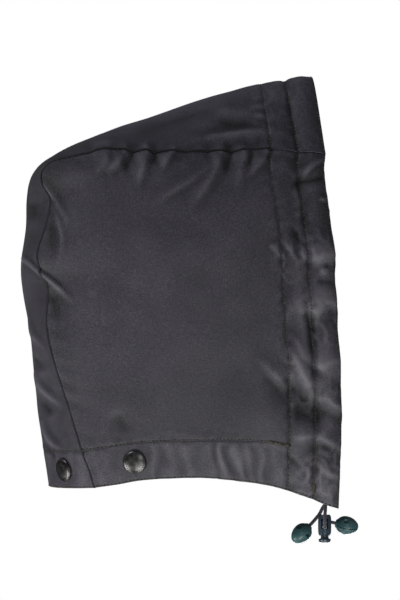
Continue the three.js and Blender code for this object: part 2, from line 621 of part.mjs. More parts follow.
// Snap caps, each with the post that goes through the cloth, and the sockets inside that take a collar's studs
function snapPieces() {
  const r = CAP_DIAMETER / 2;
  const seat = CLOTH + CAP_SEAT_GAP;
  const inside = -PLY_GAP - FACING_CLOTH - SOCKET_SEAT_GAP;
  const postEnd = inside - POST_INSIDE;
  const shelf = inside - SOCKET_SHELF;
  const cap = lathe([
    [0, postEnd],
    [POST_DIAMETER / 2, postEnd],
    [POST_DIAMETER / 2, seat],
    ...CAP_PROFILE.map(({ round, high }) => [round * r, seat + high * CAP_HEIGHT]),
  ]);
  const socket = lathe([
    [postBore, shelf],
    [SOCKET_MOUTH / 2, shelf],
    [SOCKET_MOUTH / 2, inside - SOCKET_DEPTH],
    [SOCKET_RIM, inside - SOCKET_DEPTH],
    [SOCKET_DIAMETER / 2, shelf],
    [SOCKET_DIAMETER / 2, inside],
    [postBore, inside],
    [postBore, shelf],
  ]);
  for (const snap of snaps) {
    add(`snap_cap_${snap.name}`, standAt(cap, snap), SNAP_METAL);
    add(`snap_socket_${snap.name}`, standAt(socket, snap), SNAP_METAL);
  }
}

// A round cord along a curve
function cordAlong(curve, steps) {
  const section = new THREE.Shape();
  const radius = CORD_DIAMETER / 2;
  section.moveTo(radius, 0);
  for (let k = 1; k < CORD_SIDES; k++) {
    const turn = (2 * Math.PI * k) / CORD_SIDES;
    section.lineTo(radius * Math.cos(turn), radius * Math.sin(turn));
  }
  section.closePath();
  return new THREE.ExtrudeGeometry(section, { steps, extrudePath: curve, curveSegments: 1 });
}

// Straight runs from point to point, each as long a share of the curve as the next
class Polyline extends THREE.Curve {
  constructor(points) {
    super();
    this.points = points;
  }
  getPoint(share) {
    const at = share * (this.points.length - 1);
    const i = Math.min(Math.floor(at), this.points.length - 2);
    return this.points[i].clone().lerp(this.points[i + 1], at - i);
  }
  getPointAt(share) {
    return this.getPoint(share);
  }
  getTangentAt(share) {
    return this.getTangent(share);
  }
}

const CORD_LINE = 2; // of the face band's lines
const inChannel = ({ point, out }) => point.clone().addScaledVector(out, -TUNNEL / 2);
const channelLine = faceLines.map((line) => inChannel(line[CORD_LINE]));
// A point of the channel some way above its mouth.
function aboveMouth(side, distance) {
  const [mouth, next] = side > 0 ? channelLine : channelLine.slice(-2).reverse();
  return next.clone().sub(mouth).setLength(distance).add(mouth);
}
function drawcord() {
  const from = EXIT_DEPTH + JOINT_GAP;
  const points = [aboveMouth(1, from), ...channelLine.slice(1, -1), aboveMouth(-1, from)];
  add("drawcord", cordAlong(new Polyline(points), points.length - 1), CORD_BRAID);
}

// Cord tails: out of the channel, then along the route
const onSide = (side, [fore, out, up]) => vec(fore, -side * out, up);
function tailCurve(side, route) {
  const start = aboveMouth(side, EXIT_DEPTH);
  const below = route.map((step) => start.clone().add(onSide(side, step)));
  return new THREE.CatmullRomCurve3([start, aboveMouth(side, 0), ...below]);
}

// Cord lock
const bore = BARREL_DIAMETER / 2 - BARREL_WALL;
const cordHole = CORD_DIAMETER + 2 * BORE_CLEARANCE;
function boxAt(width, depth, low, high, y = 0) {
  return new THREE.BoxGeometry(width, depth, high - low).translate(0, y, (low + high) / 2);
}
const upright = (geometry) => geometry.rotateX(Math.PI / 2);

// Both pieces are made round the Z axis with the middle of the cord hole at their origin.
function lockBarrel() {
  const r = BARREL_DIAMETER / 2;
  const top = LOCK_HOLE_DROP;
  const bottom = top - BARREL_LENGTH;
  const ceiling = WINDOW_RISE + BARREL_ROOF;
  const barrel = upright(
    lathe([
      [bore, bottom],
      [r - BARREL_LIP, bottom],
      [r, bottom + BARREL_LIP],
      [r, top - BARREL_ROUND],
      [r - BARREL_ROUND, top],
      [0, top],
      [0, ceiling],
      [bore, ceiling],
      [bore, bottom],
    ]),
  );
  const window = boxAt(WINDOW_WIDTH, BARREL_DIAMETER, -cordHole / 2, WINDOW_RISE, -BARREL_DIAMETER / 2);
  const backHole = boxAt(cordHole, BARREL_DIAMETER, -cordHole / 2, cordHole / 2, BARREL_DIAMETER / 2);
  return cut(barrel, window, backHole);
}
function lockButton() {
  const r = bore - BUTTON_CLEARANCE;
  const flange = BUTTON_FLANGE / 2;
  const barrelBottom = LOCK_HOLE_DROP - BARREL_LENGTH;
  const flangeTop = barrelBottom - BUTTON_TRAVEL - BUTTON_CLEARANCE;
  const buttonTop = WINDOW_RISE + BARREL_ROOF - BUTTON_TRAVEL - BUTTON_CLEARANCE;
  const button = upright(
    lathe([
      [0, flangeTop - BUTTON_FLANGE_HEIGHT],
      [BUTTON_RIM * flange, flangeTop - BUTTON_FLANGE_HEIGHT],
      [flange, flangeTop - BUTTON_RIM_RISE * BUTTON_FLANGE_HEIGHT],
      [BUTTON_NECK * r, flangeTop],
      [BUTTON_NECK * r, barrelBottom + BUTTON_NECK_RISE],
      [r, barrelBottom + 2 * BUTTON_NECK_RISE],
      [r, buttonTop],
      [0, buttonTop],
    ]),
  );
  const low = -cordHole / 2 - BUTTON_TRAVEL;
  const slot = boxAt(cordHole, BARREL_DIAMETER, low, cordHole / 2 + SLOT_HEADROOM);
  return cut(button, slot);
}

// Cord end: a leaf-shaped body of two half shells, made along +Z from the neck where the cord goes in
const END_OUTLINE = [
  { along: 0, round: 0.36 },
  { along: 0.05, round: 0.46 },
  { along: 0.16, round: 0.78 },
  { along: 0.32, round: 0.97 },
  { along: 0.48, round: 1 },
  { along: 0.68, round: 0.88 },
  { along: 0.86, round: 0.62 },
  { along: 0.97, round: 0.34 },
  { along: 1, round: 0 },
];
function cordEndHalf(upper) {
  const r = CORD_END_DIAMETER / 2;
  const outline = END_OUTLINE.map((row) => [row.round * r, row.along * CORD_END_LENGTH]);
  const whole = upright(lathe([[0, 0], ...outline]));
  const away = new THREE.BoxGeometry(3 * r, 3 * r, 3 * CORD_END_LENGTH);
  away.translate(0, (upper ? -1 : 1) * (1.5 * r - CORD_END_SPLIT / 2), 0);
  const boreLength = CORD_END_GRIP + BORE_CLEARANCE;
  const boreRadius = CORD_END_BORE / 2;
  const cordBore = upright(new THREE.CylinderGeometry(boreRadius, boreRadius, 2 * boreLength, ROUND_SIDES));
  const latches = [-1, 1].map((hand) =>
    new THREE.BoxGeometry(LATCH_DEPTH * 2, LATCH_WIDTH, LATCH_WIDTH).translate(
      hand * r,
      (upper ? 1 : -1) * LATCH_WIDTH,
      LATCH_ALONG * CORD_END_LENGTH,
    ),
  );
  return cut(whole, away, cordBore, ...latches);
}
function cordEnd(word, curve, roll) {
  const [neck, , tip] = curve.points.slice(-3);
  const direction = tip.clone().sub(neck).normalize();
  const group = new THREE.Group();
  group.position.copy(tip).addScaledVector(direction, -CORD_END_GRIP);
  group.quaternion.setFromUnitVectors(vec(0, 0, 1), direction);
  hood.add(group);
  const turned = new THREE.Group();
  turned.rotation.z = THREE.MathUtils.degToRad(roll);
  group.add(turned);
  add(`cord_end_${word}_upper`, cordEndHalf(true), END_PLASTIC, turned);
  add(`cord_end_${word}_lower`, cordEndHalf(false), END_PLASTIC, turned);
}

sidePanel("right");
sidePanel("left");
centrePanel();
faceFacing();
neckFacing();
snapPieces();
drawcord();
const rightTail = tailCurve(1, RIGHT_TAIL);
const leftTail = tailCurve(-1, LEFT_TAIL);
add("cord_tail_right", cordAlong(rightTail, RIGHT_TAIL_STEPS), CORD_BRAID);
add("cord_tail_left", cordAlong(leftTail, LEFT_TAIL_STEPS), CORD_BRAID);
const lockAt = aboveMouth(1, EXIT_DEPTH).add(onSide(1, LOCK_HOLE));
add("lock_barrel", lockBarrel(), LOCK_PLASTIC).position.copy(lockAt);
add("lock_button", lockButton(), LOCK_PLASTIC).position.copy(lockAt);
cordEnd("right", rightTail, RIGHT_END_ROLL);
cordEnd("left", leftTail, LEFT_END_ROLL);

export default hood;
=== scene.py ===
import math

import bpy
import numpy as np
from mathutils import Matrix, Vector


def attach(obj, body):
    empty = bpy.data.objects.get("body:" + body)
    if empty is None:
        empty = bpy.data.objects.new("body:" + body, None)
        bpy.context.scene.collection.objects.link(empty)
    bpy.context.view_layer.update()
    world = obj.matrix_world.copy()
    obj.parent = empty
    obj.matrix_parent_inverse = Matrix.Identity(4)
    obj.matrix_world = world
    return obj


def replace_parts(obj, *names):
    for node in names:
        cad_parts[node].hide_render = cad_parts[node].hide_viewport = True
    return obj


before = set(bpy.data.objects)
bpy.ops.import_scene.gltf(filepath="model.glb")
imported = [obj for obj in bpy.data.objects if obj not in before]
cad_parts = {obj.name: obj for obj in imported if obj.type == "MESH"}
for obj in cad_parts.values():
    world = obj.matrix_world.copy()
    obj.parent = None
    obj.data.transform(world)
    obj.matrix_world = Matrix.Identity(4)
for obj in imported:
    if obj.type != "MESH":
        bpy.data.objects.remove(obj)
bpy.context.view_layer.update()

MM = 0.001
SCENE = bpy.context.scene

# Camera and light, in metres
VIEW_CENTRE = (0.040, -1.5, -0.1456)
VIEW_HEIGHT = 0.48
LAMP_AIM = (0.03, 0, -0.15)
FLOOR_LEVEL = -2.6
FLOOR_SIZE = 20.0
LIGHT_BELOW = 0.08
LIGHT_ABOVE = 0.12
ROOM_TINT = (0.94, 0.93, 1.0, 1)


def aimed(name, data, place, target):
    """An object at a place, turned to look at a target."""
    made = bpy.data.objects.new(name, data)
    SCENE.collection.objects.link(made)
    made.location = place
    made.rotation_euler = (Vector(target) - Vector(place)).to_track_quat("-Z", "Y").to_euler()
    return made


def softbox(name, place, size, power, colour=(1, 1, 1)):
    """A round soft lamp that looks at the middle of the hood."""
    data = bpy.data.lights.new(name, "AREA")
    data.color = colour
    data.shape = "DISK"
    data.size = size
    data.energy = power
    aimed(name, data, place, LAMP_AIM)


def camera_and_light():
    """The camera at the photograph's angle, soft lamps, and a pale room that is a little lighter above."""
    data = bpy.data.cameras.new("camera")
    data.type = "ORTHO"
    data.ortho_scale = VIEW_HEIGHT
    SCENE.camera = aimed("camera", data, VIEW_CENTRE, (VIEW_CENTRE[0], 0, VIEW_CENTRE[2]))
    softbox("low_front", (0.5, -1.75, -2.15), 1.7, 31)
    softbox("low_back", (-2.1, -0.9, -2.1), 1.5, 39)
    softbox("front_glint", (0.5, -2.45, -0.2), 0.6, 4.2)
    softbox("high_back", (-1.5, -0.8, 1.8), 0.8, 20, (0.88, 0.86, 1.0))
    softbox("far_side", (0.3, 2.3, -1.2), 1.6, 50)
    world = bpy.data.worlds.new("studio")
    SCENE.world = world
    world.use_nodes = True
    tree = world.node_tree
    tree.nodes.clear()
    ray = node(tree, "ShaderNodeLightPath")
    place = node(tree, "ShaderNodeTexCoord")
    parts = node(tree, "ShaderNodeSeparateXYZ", {0: place.outputs["Generated"]})
    level = node(
        tree,
        "ShaderNodeMapRange",
        {"Value": parts.outputs["Z"], "From Min": -1, "To Min": LIGHT_BELOW, "To Max": LIGHT_ABOVE},
    )
    room = node(tree, "ShaderNodeBackground", {"Color": ROOM_TINT, "Strength": level.outputs[0]})
    white = node(tree, "ShaderNodeBackground", {"Color": (1, 1, 1, 1)})
    seen = ray.outputs["Is Camera Ray"]
    mix = node(tree, "ShaderNodeMixShader", {0: seen, 1: room.outputs[0], 2: white.outputs[0]})
    node(tree, "ShaderNodeOutputWorld", {"Surface": mix.outputs[0]})
    SCENE.view_settings.view_transform = "Standard"


# Main sizes, as in the part's source
DEPTH = 256.0
HEIGHT = 346.0
HALF_WIDTH = 94.0
CHEEK_SWELL = 11.5  # how far the side panel swells out, and where along and down it swells most
CHEEK_FORE = 0.9
CHEEK_DOWN = 0.6
ARCH_LEAD = 1.1  # how early the centre panel's arch leans towards its seams
CLOTH = 1.2  # thickness of the outer cloth, then of the facings
FACING = 1.0
PLY_GAP = 0.3
FACE_BAND = 44.0  # from the face edge to the face facing's far stitches, and to the channel's
CHANNEL_LINE = 22.0
NECK_BAND = 32.0  # from the hem to the neck facing's stitches
EDGE_LINE = 1.2  # from any edge to its edge stitches
CORD = 2.8  # the cord's diameter, and the room that its channel has
TUNNEL = 4.6

# The centre panel from the brow edge to the nape: the ridge forward and up, then the near seam forward, up
# and out, as shares of the hood's depth, height and half width
SECTIONS = np.array(
    [
        [0.508, 0.0913, 0.5484, -0.0832, 0.5],
        [0.425, 0.0844, 0.469, -0.0786, 0.532],
        [0.3, 0.0694, 0.328, -0.0717, 0.596],
        [0.15, 0.0382, 0.172, -0.0809, 0.67],
        [0, 0, 0.025, -0.0798, 0.723],
        [-0.144, -0.037, -0.116, -0.0763, 0.766],
        [-0.244, -0.0659, -0.216, -0.0867, 0.787],
        [-0.316, -0.0983, -0.297, -0.1006, 0.793],
        [-0.355, -0.1237, -0.334, -0.126, 0.793],
        [-0.3766, -0.1503, -0.334, -0.157, 0.787],
        [-0.386, -0.1942, -0.309, -0.1965, 0.761],
        [-0.386, -0.259, -0.328, -0.261, 0.771],
        [-0.395, -0.328, -0.347, -0.324, 0.782],
        [-0.389, -0.398, -0.319, -0.391, 0.766],
        [-0.3766, -0.472, -0.322, -0.472, 0.766],
        [-0.3656, -0.5595, -0.3, -0.557, 0.761],
        [-0.348, -0.6566, -0.259, -0.6566, 0.739],
        [-0.3297, -0.758, -0.2156, -0.758, 0.718],
        [-0.314, -0.851, -0.172, -0.855, 0.681],
    ]
)
CORNER = 8  # the section where the top seam turns down the back
NAPE = len(SECTIONS) - 1
# The side panel's hem from the nape seam to the lower front corner, and its face edge from the top seam to
# that corner: forward, up and out
HEM = np.array(
    [
        [-0.172, -0.855, 0.681],
        [-0.1, -0.8474, 0.723],
        [-0.025, -0.8382, 0.755],
        [0.078, -0.8335, 0.787],
        [0.175, -0.8324, 0.798],
        [0.275, -0.8393, 0.793],
        [0.375, -0.8509, 0.766],
        [0.469, -0.8705, 0.723],
        [0.5375, -0.8902, 0.681],
        [0.589, -0.9029, 0.638],
    ]
)
FACE_EDGE = np.array(
    [
        [0.5484, -0.0832, 0.5],
        [0.545, -0.1249, 0.56],
        [0.558, -0.2012, 0.65],
        [0.573, -0.289, 0.735],
        [0.578, -0.363, 0.79],
        [0.584, -0.444, 0.825],
        [0.592, -0.541, 0.84],
        [0.598, -0.652, 0.83],
        [0.6, -0.7098, 0.814],
        [0.595, -0.7908, 0.755],
        [0.592, -0.8486, 0.702],
        [0.589, -0.9029, 0.638],
    ]
)


def in_millimetres(rows):
    """Forward, up and out as shares, turned into points on the right-hand side."""
    return np.stack([DEPTH * rows[:, 0], -HALF_WIDTH * rows[:, 2], HEIGHT * rows[:, 1]], axis=1)


RIDGE = in_millimetres(np.column_stack([SECTIONS[:, 0], SECTIONS[:, 1], np.zeros(len(SECTIONS))]))
SEAM = in_millimetres(SECTIONS[:, 2:])
HEM_LINE = in_millimetres(HEM)
FACE_LINE = in_millimetres(FACE_EDGE)


def through(rows, at):
    """Points at positions along a smooth curve through the rows of a table."""
    at = np.asarray(at, float)
    last = len(rows) - 2
    i = np.clip(np.floor(at).astype(int), 0, last)
    t = (at - i)[..., None]
    b = rows[i]
    c = rows[i + 1]
    a = np.where((i > 0)[..., None], rows[np.maximum(i - 1, 0)], 2 * b - c)
    d = np.where((i < last)[..., None], rows[np.minimum(i + 2, len(rows) - 1)], 2 * c - b)
    return b + 0.5 * t * (c - a + t * (2 * a - 5 * b + 4 * c - d + t * (3 * (b - c) + d - a)))


def unit(vectors):
    """Vectors of length 1."""
    return vectors / np.maximum(np.linalg.norm(vectors, axis=-1, keepdims=True), 1e-12)


def lengths_along(points):
    """The length of a line of points up to each of them."""
    steps = np.linalg.norm(np.diff(points, axis=0), axis=-1)
    return np.concatenate([np.zeros((1, *steps.shape[1:])), np.cumsum(steps, axis=0)])


def at_lengths(at, run, rows):
    """Points or directions on a line, at these lengths along it."""
    return np.stack([np.interp(at, run, rows[:, k]) for k in range(3)], axis=-1)


def evenly(rows, low, high):
    """The positions that cut a curve into equal lengths, as a function of the share of its length."""
    at = np.linspace(low, high, 401)
    run = lengths_along(through(rows, at))
    return lambda share: np.interp(share, run / run[-1], at)


top_station = evenly(SEAM, CORNER, 0)
back_station = evenly(SEAM, CORNER, NAPE)
hem_station = evenly(HEM_LINE, 0, len(HEM) - 1)
face_station = evenly(FACE_LINE, 0, len(FACE_EDGE) - 1)


def centre_base(s, across):
    """The centre panel's inner face: an arch from the left seam, across -1, to the right one, across 1."""
    s, across = np.broadcast_arrays(np.asarray(s, float), np.asarray(across, float))
    ridge = through(RIDGE, s)
    seam = through(SEAM, s)
    tangent = unit(through(RIDGE, np.minimum(s + 0.05, NAPE)) - through(RIDGE, np.maximum(s - 0.05, 0)))
    reach = (seam - ridge) * [1, 0, 1]
    along = tangent * (reach * tangent).sum(-1, keepdims=True)
    share = np.abs(across)[..., None]
    sideways = across[..., None] * seam[..., 1:2] * [0, 1, 0]
    return ridge + along * share**ARCH_LEAD + (reach - along) * share**2 + sideways


def side_base(u, v):
    """The right side panel's inner face: u from the back seam to the face edge, v from the top to the hem."""
    u, v = np.broadcast_arrays(np.asarray(u, float), np.asarray(v, float))
    across, down = u[..., None], v[..., None]
    point = (
        through(SEAM, top_station(u)) * (1 - down)
        + through(HEM_LINE, hem_station(u)) * down
        + through(SEAM, back_station(v)) * (1 - across)
        + through(FACE_LINE, face_station(v)) * across
        - SEAM[CORNER] * (1 - across) * (1 - down)
        - SEAM[0] * across * (1 - down)
        - SEAM[NAPE] * (1 - across) * down
        - FACE_LINE[-1] * across * down
    )
    swell = np.sin(np.pi * np.maximum(u, 0) ** CHEEK_FORE) * np.sin(np.pi * np.maximum(v, 0) ** CHEEK_DOWN)
    point[..., 1] -= CHEEK_SWELL * swell
    return point


HEART = np.array([0.1 * DEPTH, 0, -0.4 * HEIGHT])  # a point inside, which the cloth looks away from


def facing_out(base, a, b, low, high):
    """The outward normals of a surface of two coordinates that run from low to high."""
    a, b = np.broadcast_arrays(np.asarray(a, float), np.asarray(b, float))
    step = 1e-3
    along_a = base(np.minimum(a + step, high[0]), b) - base(np.maximum(a - step, low[0]), b)
    along_b = base(a, np.minimum(b + step, high[1])) - base(a, np.maximum(b - step, low[1]))
    normal = unit(np.cross(along_a, along_b))
    inward = (normal * (base(a, b) - HEART)).sum(-1, keepdims=True) < 0
    return np.where(inward, -normal, normal)


def side_normal(u, v):
    """The way the right side panel faces."""
    return facing_out(side_base, u, v, (0, 0), (1, 1))


def centre_normal(s, across):
    """The way the centre panel faces."""
    return facing_out(centre_base, s, across, (0, -1), (NAPE, 1))


SHARES = np.linspace(0, 1, 81)
ROW_LENGTHS = lengths_along(side_base(SHARES[:, None], SHARES[None, :]))[-1]
COLUMN_LENGTHS = lengths_along(side_base(SHARES[None, :], SHARES[:, None]))[-1]


def row_length(v):
    """How long the side panel is from its back to its face edge, at v."""
    return np.interp(v, SHARES, ROW_LENGTHS)


def column_length(u):
    """How long the side panel is from its top to its hem, at u."""
    return np.interp(u, SHARES, COLUMN_LENGTHS)


STATIONS = np.linspace(0, NAPE, 721)
TOP_SHARES = np.interp(STATIONS, top_station(SHARES)[::-1], SHARES[::-1])
BACK_SHARES = np.interp(STATIONS, back_station(SHARES), SHARES)
SEAM_NORMALS = unit(
    centre_normal(STATIONS, 1.0)
    + side_normal(np.where(STATIONS <= CORNER, TOP_SHARES, 0), np.where(STATIONS > CORNER, BACK_SHARES, 0))
)
SEAM_BLEND = 8.0  # how far from a seam its shared normal is felt


def ease(value):
    """0 below 0, 1 above 1 and smooth between."""
    t = np.clip(value, 0, 1)
    return t * t * (3 - 2 * t)


def towards_seam(normal, s, distance):
    """Normals turned to the seam's shared normal near the seam."""
    share = ease(1 - distance / SEAM_BLEND)[..., None]
    return unit(normal * (1 - share) + at_lengths(s, STATIONS, SEAM_NORMALS) * share)


NECK_RISE = 6.5  # how much higher the neck stitches run at the face facing
NECK_RUN = 125.0  # how far from the face they begin to rise


def neck_rise(face):
    """How much higher the neck stitches run, at this distance from the face edge."""
    return NECK_RISE * ease((NECK_RUN - face) / (NECK_RUN - FACE_BAND))


def neck_line(face):
    """How far above the hem the neck stitches run."""
    return NECK_BAND + neck_rise(face)


# Folds seen from the side: a line of forward and up, height, half width, lean to its right-hand side, and
# how much of the height is left at the first and last point. A negative height is a hollow.
FOLDS = [
    # Gathers under the top seam
    ("gather at the crown", [(-33, -29), (-38, -38), (-46, -45)], 1.0, 3.6, 0.3, 1, 0),
    ("gather", [(-21, -28), (-26, -36), (-38, -44)], 1.7, 4.3, 0.3, 1, 0),
    ("gather hollow", [(-14, -28), (-17, -37), (-20, -46)], -1.5, 6.0, 0, 1, 0),
    ("gather", [(-3, -27), (-5, -37), (-8, -48), (-13, -58)], 1.7, 4.1, 0.3, 1, 0),
    ("gather hollow", [(4, -28), (2, -40)], -1.5, 5.0, 0, 1, 0),
    ("gather", [(19, -28), (13, -35), (8, -46)], 1.4, 2.6, 0.3, 1, 0),
    ("gather hollow", [(27, -28), (22, -38)], -0.9, 5.4, 0, 1, 0),
    ("gather", [(51, -37), (33, -50), (20, -58), (-2, -74)], 1.1, 2.9, 0.3, 0.2, 0),
    ("long gather", [(57, -28), (53, -40), (44, -56), (36, -66), (26, -76)], 1.8, 5.0, 0.3, 1, 0),
    ("long gather hollow", [(65, -28), (63, -37), (58, -46)], -1.7, 5.5, 0, 1, 0),
    ("gather", [(75, -28), (72, -46), (69, -62)], 1.3, 4.8, 0.3, 1, 0),
    ("gather hollow", [(81, -30), (79, -40)], -1.3, 2.6, 0, 1, 0),
    ("gather", [(94, -27), (88, -37), (73, -51)], 1.3, 3.1, 0.3, 1, 0),
    ("gather hollow", [(97, -31), (93, -48)], -1.0, 4.8, 0, 1, 0.2),
    # The back, from the crown's corner down to the nape
    ("crown corner crease", [(-84, -53), (-76, -65), (-69, -78), (-63, -89)], 1.4, 1.7, -0.3, 0.5, 0),
    ("crown corner crease", [(-76, -71), (-73, -85), (-70, -98), (-73, -118)], 1.1, 1.7, -0.2, 0.4, 0),
    ("hollow beside the seam", [(-79, -80), (-77, -108)], -1.6, 5.0, 0, 0.3, 0.3),
    ("crown corner hollow", [(-95, -64), (-93, -88)], -3.2, 8.0, 0, 0.3, 0),
    ("back fold", [(-102, -111), (-90, -119), (-77, -131), (-65, -143), (-58, -151)], 2.9, 1.6, 0.45, 0.8, 0),
    ("hollow under the back fold", [(-82, -136), (-76, -150), (-72, -166)], -2.3, 8.2, -0.2, 0.4, 0.1),
    ("lower back fold", [(-99, -150), (-93, -172), (-80, -187)], 2.4, 2.6, 0.3, 0.4, 0),
    ("lower back hollow", [(-94, -190), (-82, -204)], -2.4, 5.0, 0, 0.4, 0),
    ("lower back fold", [(-91, -204), (-84, -216), (-68, -233)], 2.4, 2.8, 0.3, 0.6, 0),
    ("lower back hollow", [(-88, -226), (-76, -240)], -2.5, 5.0, 0, 0.6, 0),
    ("lower back fold", [(-86, -243), (-78, -259), (-68, -267)], 2.5, 2.6, 0.3, 0.8, 0),
    ("crease at the nape", [(-83, -262), (-76, -272), (-76, -281)], -1.5, 2.6, 0, 0.6, 0),
    # The side, the crown and the brow
    ("small crease", [(-51, -136), (-40, -144)], 0.4, 2.0, 0.2, 0, 0),
    ("hollow above the hem", [(-28, -234), (-16, -254)], -1.8, 7.7, 0, 0, 0.2),
    ("crown bump", [(-50, -27), (-37, -23), (-24, -20)], 2.2, 8.0, 0.2, 0, 0),
    ("brow hollow", [(-16, -13), (10, -4), (40, 5), (64, 9)], -3.0, 8.0, 0, 0, 0.1),
    ("brow fold", [(46, 6), (68, 4), (92, 0)], 1.2, 6.0, 0, 0, 0.5),
    ("brow hollow", [(50, -4), (72, -5), (90, -5)], -1.4, 4.0, 0, 0, 0.4),
    ("brow fold", [(30, -20), (58, -15), (86, -11), (104, -12)], 2.2, 4.0, 0.3, 0, 0.3),
    ("brow pucker", [(82, 2), (92, 0)], 0.7, 1.6, 0, 0, 1),
    ("brow pucker", [(80, -3), (92, -6)], 0.8, 1.6, 0, 0, 1),
    ("brow pucker", [(78, 8), (92, 8)], 0.7, 1.8, 0, 0, 1),
    ("brow pucker", [(80, 14), (92, 16)], 0.5, 1.8, 0, 0, 1),
    # The band round the face, from the brow down to the lower corner
    ("brow edge ridge", [(119, -50), (130, -39), (141, -33)], 1.7, 2.0, -0.2, 0, 0.4),
    ("brow edge hollow", [(109, -58), (120, -52), (134, -49), (146, -46)], -1.7, 3.6, 0, 0, 0.5),
    ("glint", [(134, -65), (143, -67)], 1.7, 1.5, -0.3, 0, 0.6),
    ("upper band crease", [(112, -50), (119, -66), (117, -84)], 1.2, 3.5, 0, 0, 0),
    ("upper band hollow", [(112, -83), (120, -98), (129, -111)], -2.5, 4.2, 0.2, 0, 0),
    ("patch behind the band", [(95, -99), (106, -113)], 1.5, 2.8, -0.3, 0, 0),
    ("patch behind the band", [(106, -97), (114, -110)], 1.4, 2.4, -0.3, 0, 0),
    ("patch on the channel", [(119, -105), (126, -115)], 2.0, 1.9, -0.2, 0, 0),
    ("upper bump", [(125, -116), (132, -111), (141, -109), (151, -112)], 5.6, 9.2, -0.35, 0, 0.6),
    ("upper bump's dimple", [(138, -117), (145, -121)], -0.8, 2.1, 0, 0, 0),
    ("upper bump's knuckle", [(134, -123), (144, -122)], 1.5, 2.3, 0, 0, 0),
    ("under the upper bump", [(131, -130), (149, -133)], -1.6, 3.9, 0, 0, 0.6),
    ("middle bump", [(129, -162), (133, -152), (142, -147), (152, -150)], 4.6, 9.0, -0.3, 0, 0.7),
    ("lower bump", [(131, -203), (139, -195), (152, -194)], 4.6, 11.0, -0.2, 0, 0.8),
    ("lower bump's streak", [(134, -222), (142, -226), (154, -233)], 1.9, 5.0, -0.35, 0, 0.8),
    ("long streak", [(107, -180), (115, -190), (123, -205), (130, -222)], 3.8, 7.1, -0.3, 0, 0.2),
    ("short streak", [(113, -171), (120, -184), (126, -197)], 1.4, 3.6, -0.3, 0, 0),
    ("channel fold", [(122, -134), (126, -154), (129, -178), (130, -214)], -2.1, 2.9, 0, 0.2, 0.1),
    ("top of dark hollow", [(104, -200), (117, -216), (131, -230), (152, -242)], -5.1, 12.2, 0.4, 0, 0.5),
    ("foot of dark hollow", [(109, -253), (120, -255), (133, -254), (152, -262)], 3.2, 9.5, -0.45, 0, 0.6),
    ("dark hollow", [(110, -229), (124, -238), (144, -250)], -3.4, 11.0, 0, 0, 0.5),
    ("corner crease", [(135, -260), (147, -266)], -1.7, 2.2, 0, 0, 0.4),
    ("corner crease", [(111, -270), (119, -279)], -1.4, 1.9, 0, 0.3, 0.3),
    ("corner crease", [(122, -276), (128, -284), (124, -292)], 1.2, 2.2, 0.2, 0, 0),
    ("corner crease", [(134, -276), (142, -284), (149, -284)], 1.4, 2.4, -0.2, 0, 0.5),
    ("streak behind the band", [(84, -190), (97, -202), (108, -213)], 1.0, 4.0, -0.3, 0, 0.5),
    ("hollow behind the band", [(88, -204), (99, -213), (108, -224)], -1.3, 5.0, 0.3, 0, 0.6),
]
FADE_IN = 0.35  # the shares of a fold's length over which it rises from its first point and sinks to its last
FADE_OUT = 0.5
FAR_SHIFT = np.array([5.1, -8.7])  # how far forward and up the left side's folds lie from the right side's
FAR_SHARE = 0.85  # and how high they are beside them
MIDDLE_CALM = 30.0  # the folds fade out this near to the ridge
SNAP_CALM = 13.5  # and the cloth lies flat this near to a press stud

# Where each press stud sits on the cloth, and which way it faces
SNAPS = {
    "side_right": ((-11.78, -73.70, -274.99), (-0.129, -0.968, -0.217)),
    "back_right": ((-67.20, -44.0, -281.27), (-0.809, -0.546, -0.219)),
    "back_left": ((-67.20, 44.0, -281.27), (-0.809, 0.546, -0.219)),
    "side_left": ((-11.78, 73.70, -274.99), (-0.129, 0.968, -0.217)),
}


def fold_form(share):
    """A fold's height across it: 1 on its crest, with a shallow dip at twice its half width."""
    return np.exp(-(share**1.4)) - 0.12 * np.exp(-(((share - 2.0) / 0.9) ** 2))


def fold_height(points):
    """The height of all the folds at points of the plain form."""
    far = points[..., 1] > 0
    place = points[..., [0, 2]] - far[..., None] * FAR_SHIFT
    total = np.zeros(points.shape[:-1])
    for _, line, height, width, lean, first, last in FOLDS:
        marks = through(np.array(line, float), np.linspace(0, len(line) - 1, 6 * (len(line) - 1) + 1))
        run = lengths_along(marks)
        nearest = np.full(total.shape, 1e9)
        offset = np.zeros(total.shape)
        share = np.zeros(total.shape)
        for i in range(len(marks) - 1):
            step = marks[i + 1] - marks[i]
            size = math.hypot(*step)
            off = place - marks[i]
            along = (off @ step) / size
            held = np.clip(along, 0, size)
            away = off - held[..., None] * step / size
            distance = np.linalg.norm(away, axis=-1)
            closer = distance < nearest
            side = np.sign(off[..., 0] * step[1] - off[..., 1] * step[0])
            nearest = np.where(closer, distance, nearest)
            offset = np.where(closer, side * distance, offset)
            share = np.where(closer, (run[i] + held) / run[-1], share)
        reach = width * np.where(offset > 0, 1 + lean, 1 - lean)
        strength = first + (1 - first) * ease(share / FADE_IN)
        strength *= last + (1 - last) * ease((1 - share) / FADE_OUT)
        total += height * fold_form(np.abs(offset) / reach) * strength
    total *= np.where(far, FAR_SHARE, 1)
    return total * ease(np.abs(points[..., 1]) / MIDDLE_CALM)


RIPPLE_WAVES = 14
WOBBLE_WAVES = 6


def ripple(points, length, seed):
    """A smooth random height of about this wavelength, with a mean square of 1."""
    draw = np.random.RandomState(seed)
    total = np.zeros(points.shape[:-1])
    for _ in range(RIPPLE_WAVES):
        direction = unit(draw.normal(size=3))
        turns = 2 * math.pi / (length * draw.uniform(0.7, 1.4))
        total += np.cos(points @ (direction * turns) + draw.uniform(0, 2 * math.pi))
    return total / math.sqrt(RIPPLE_WAVES / 2)


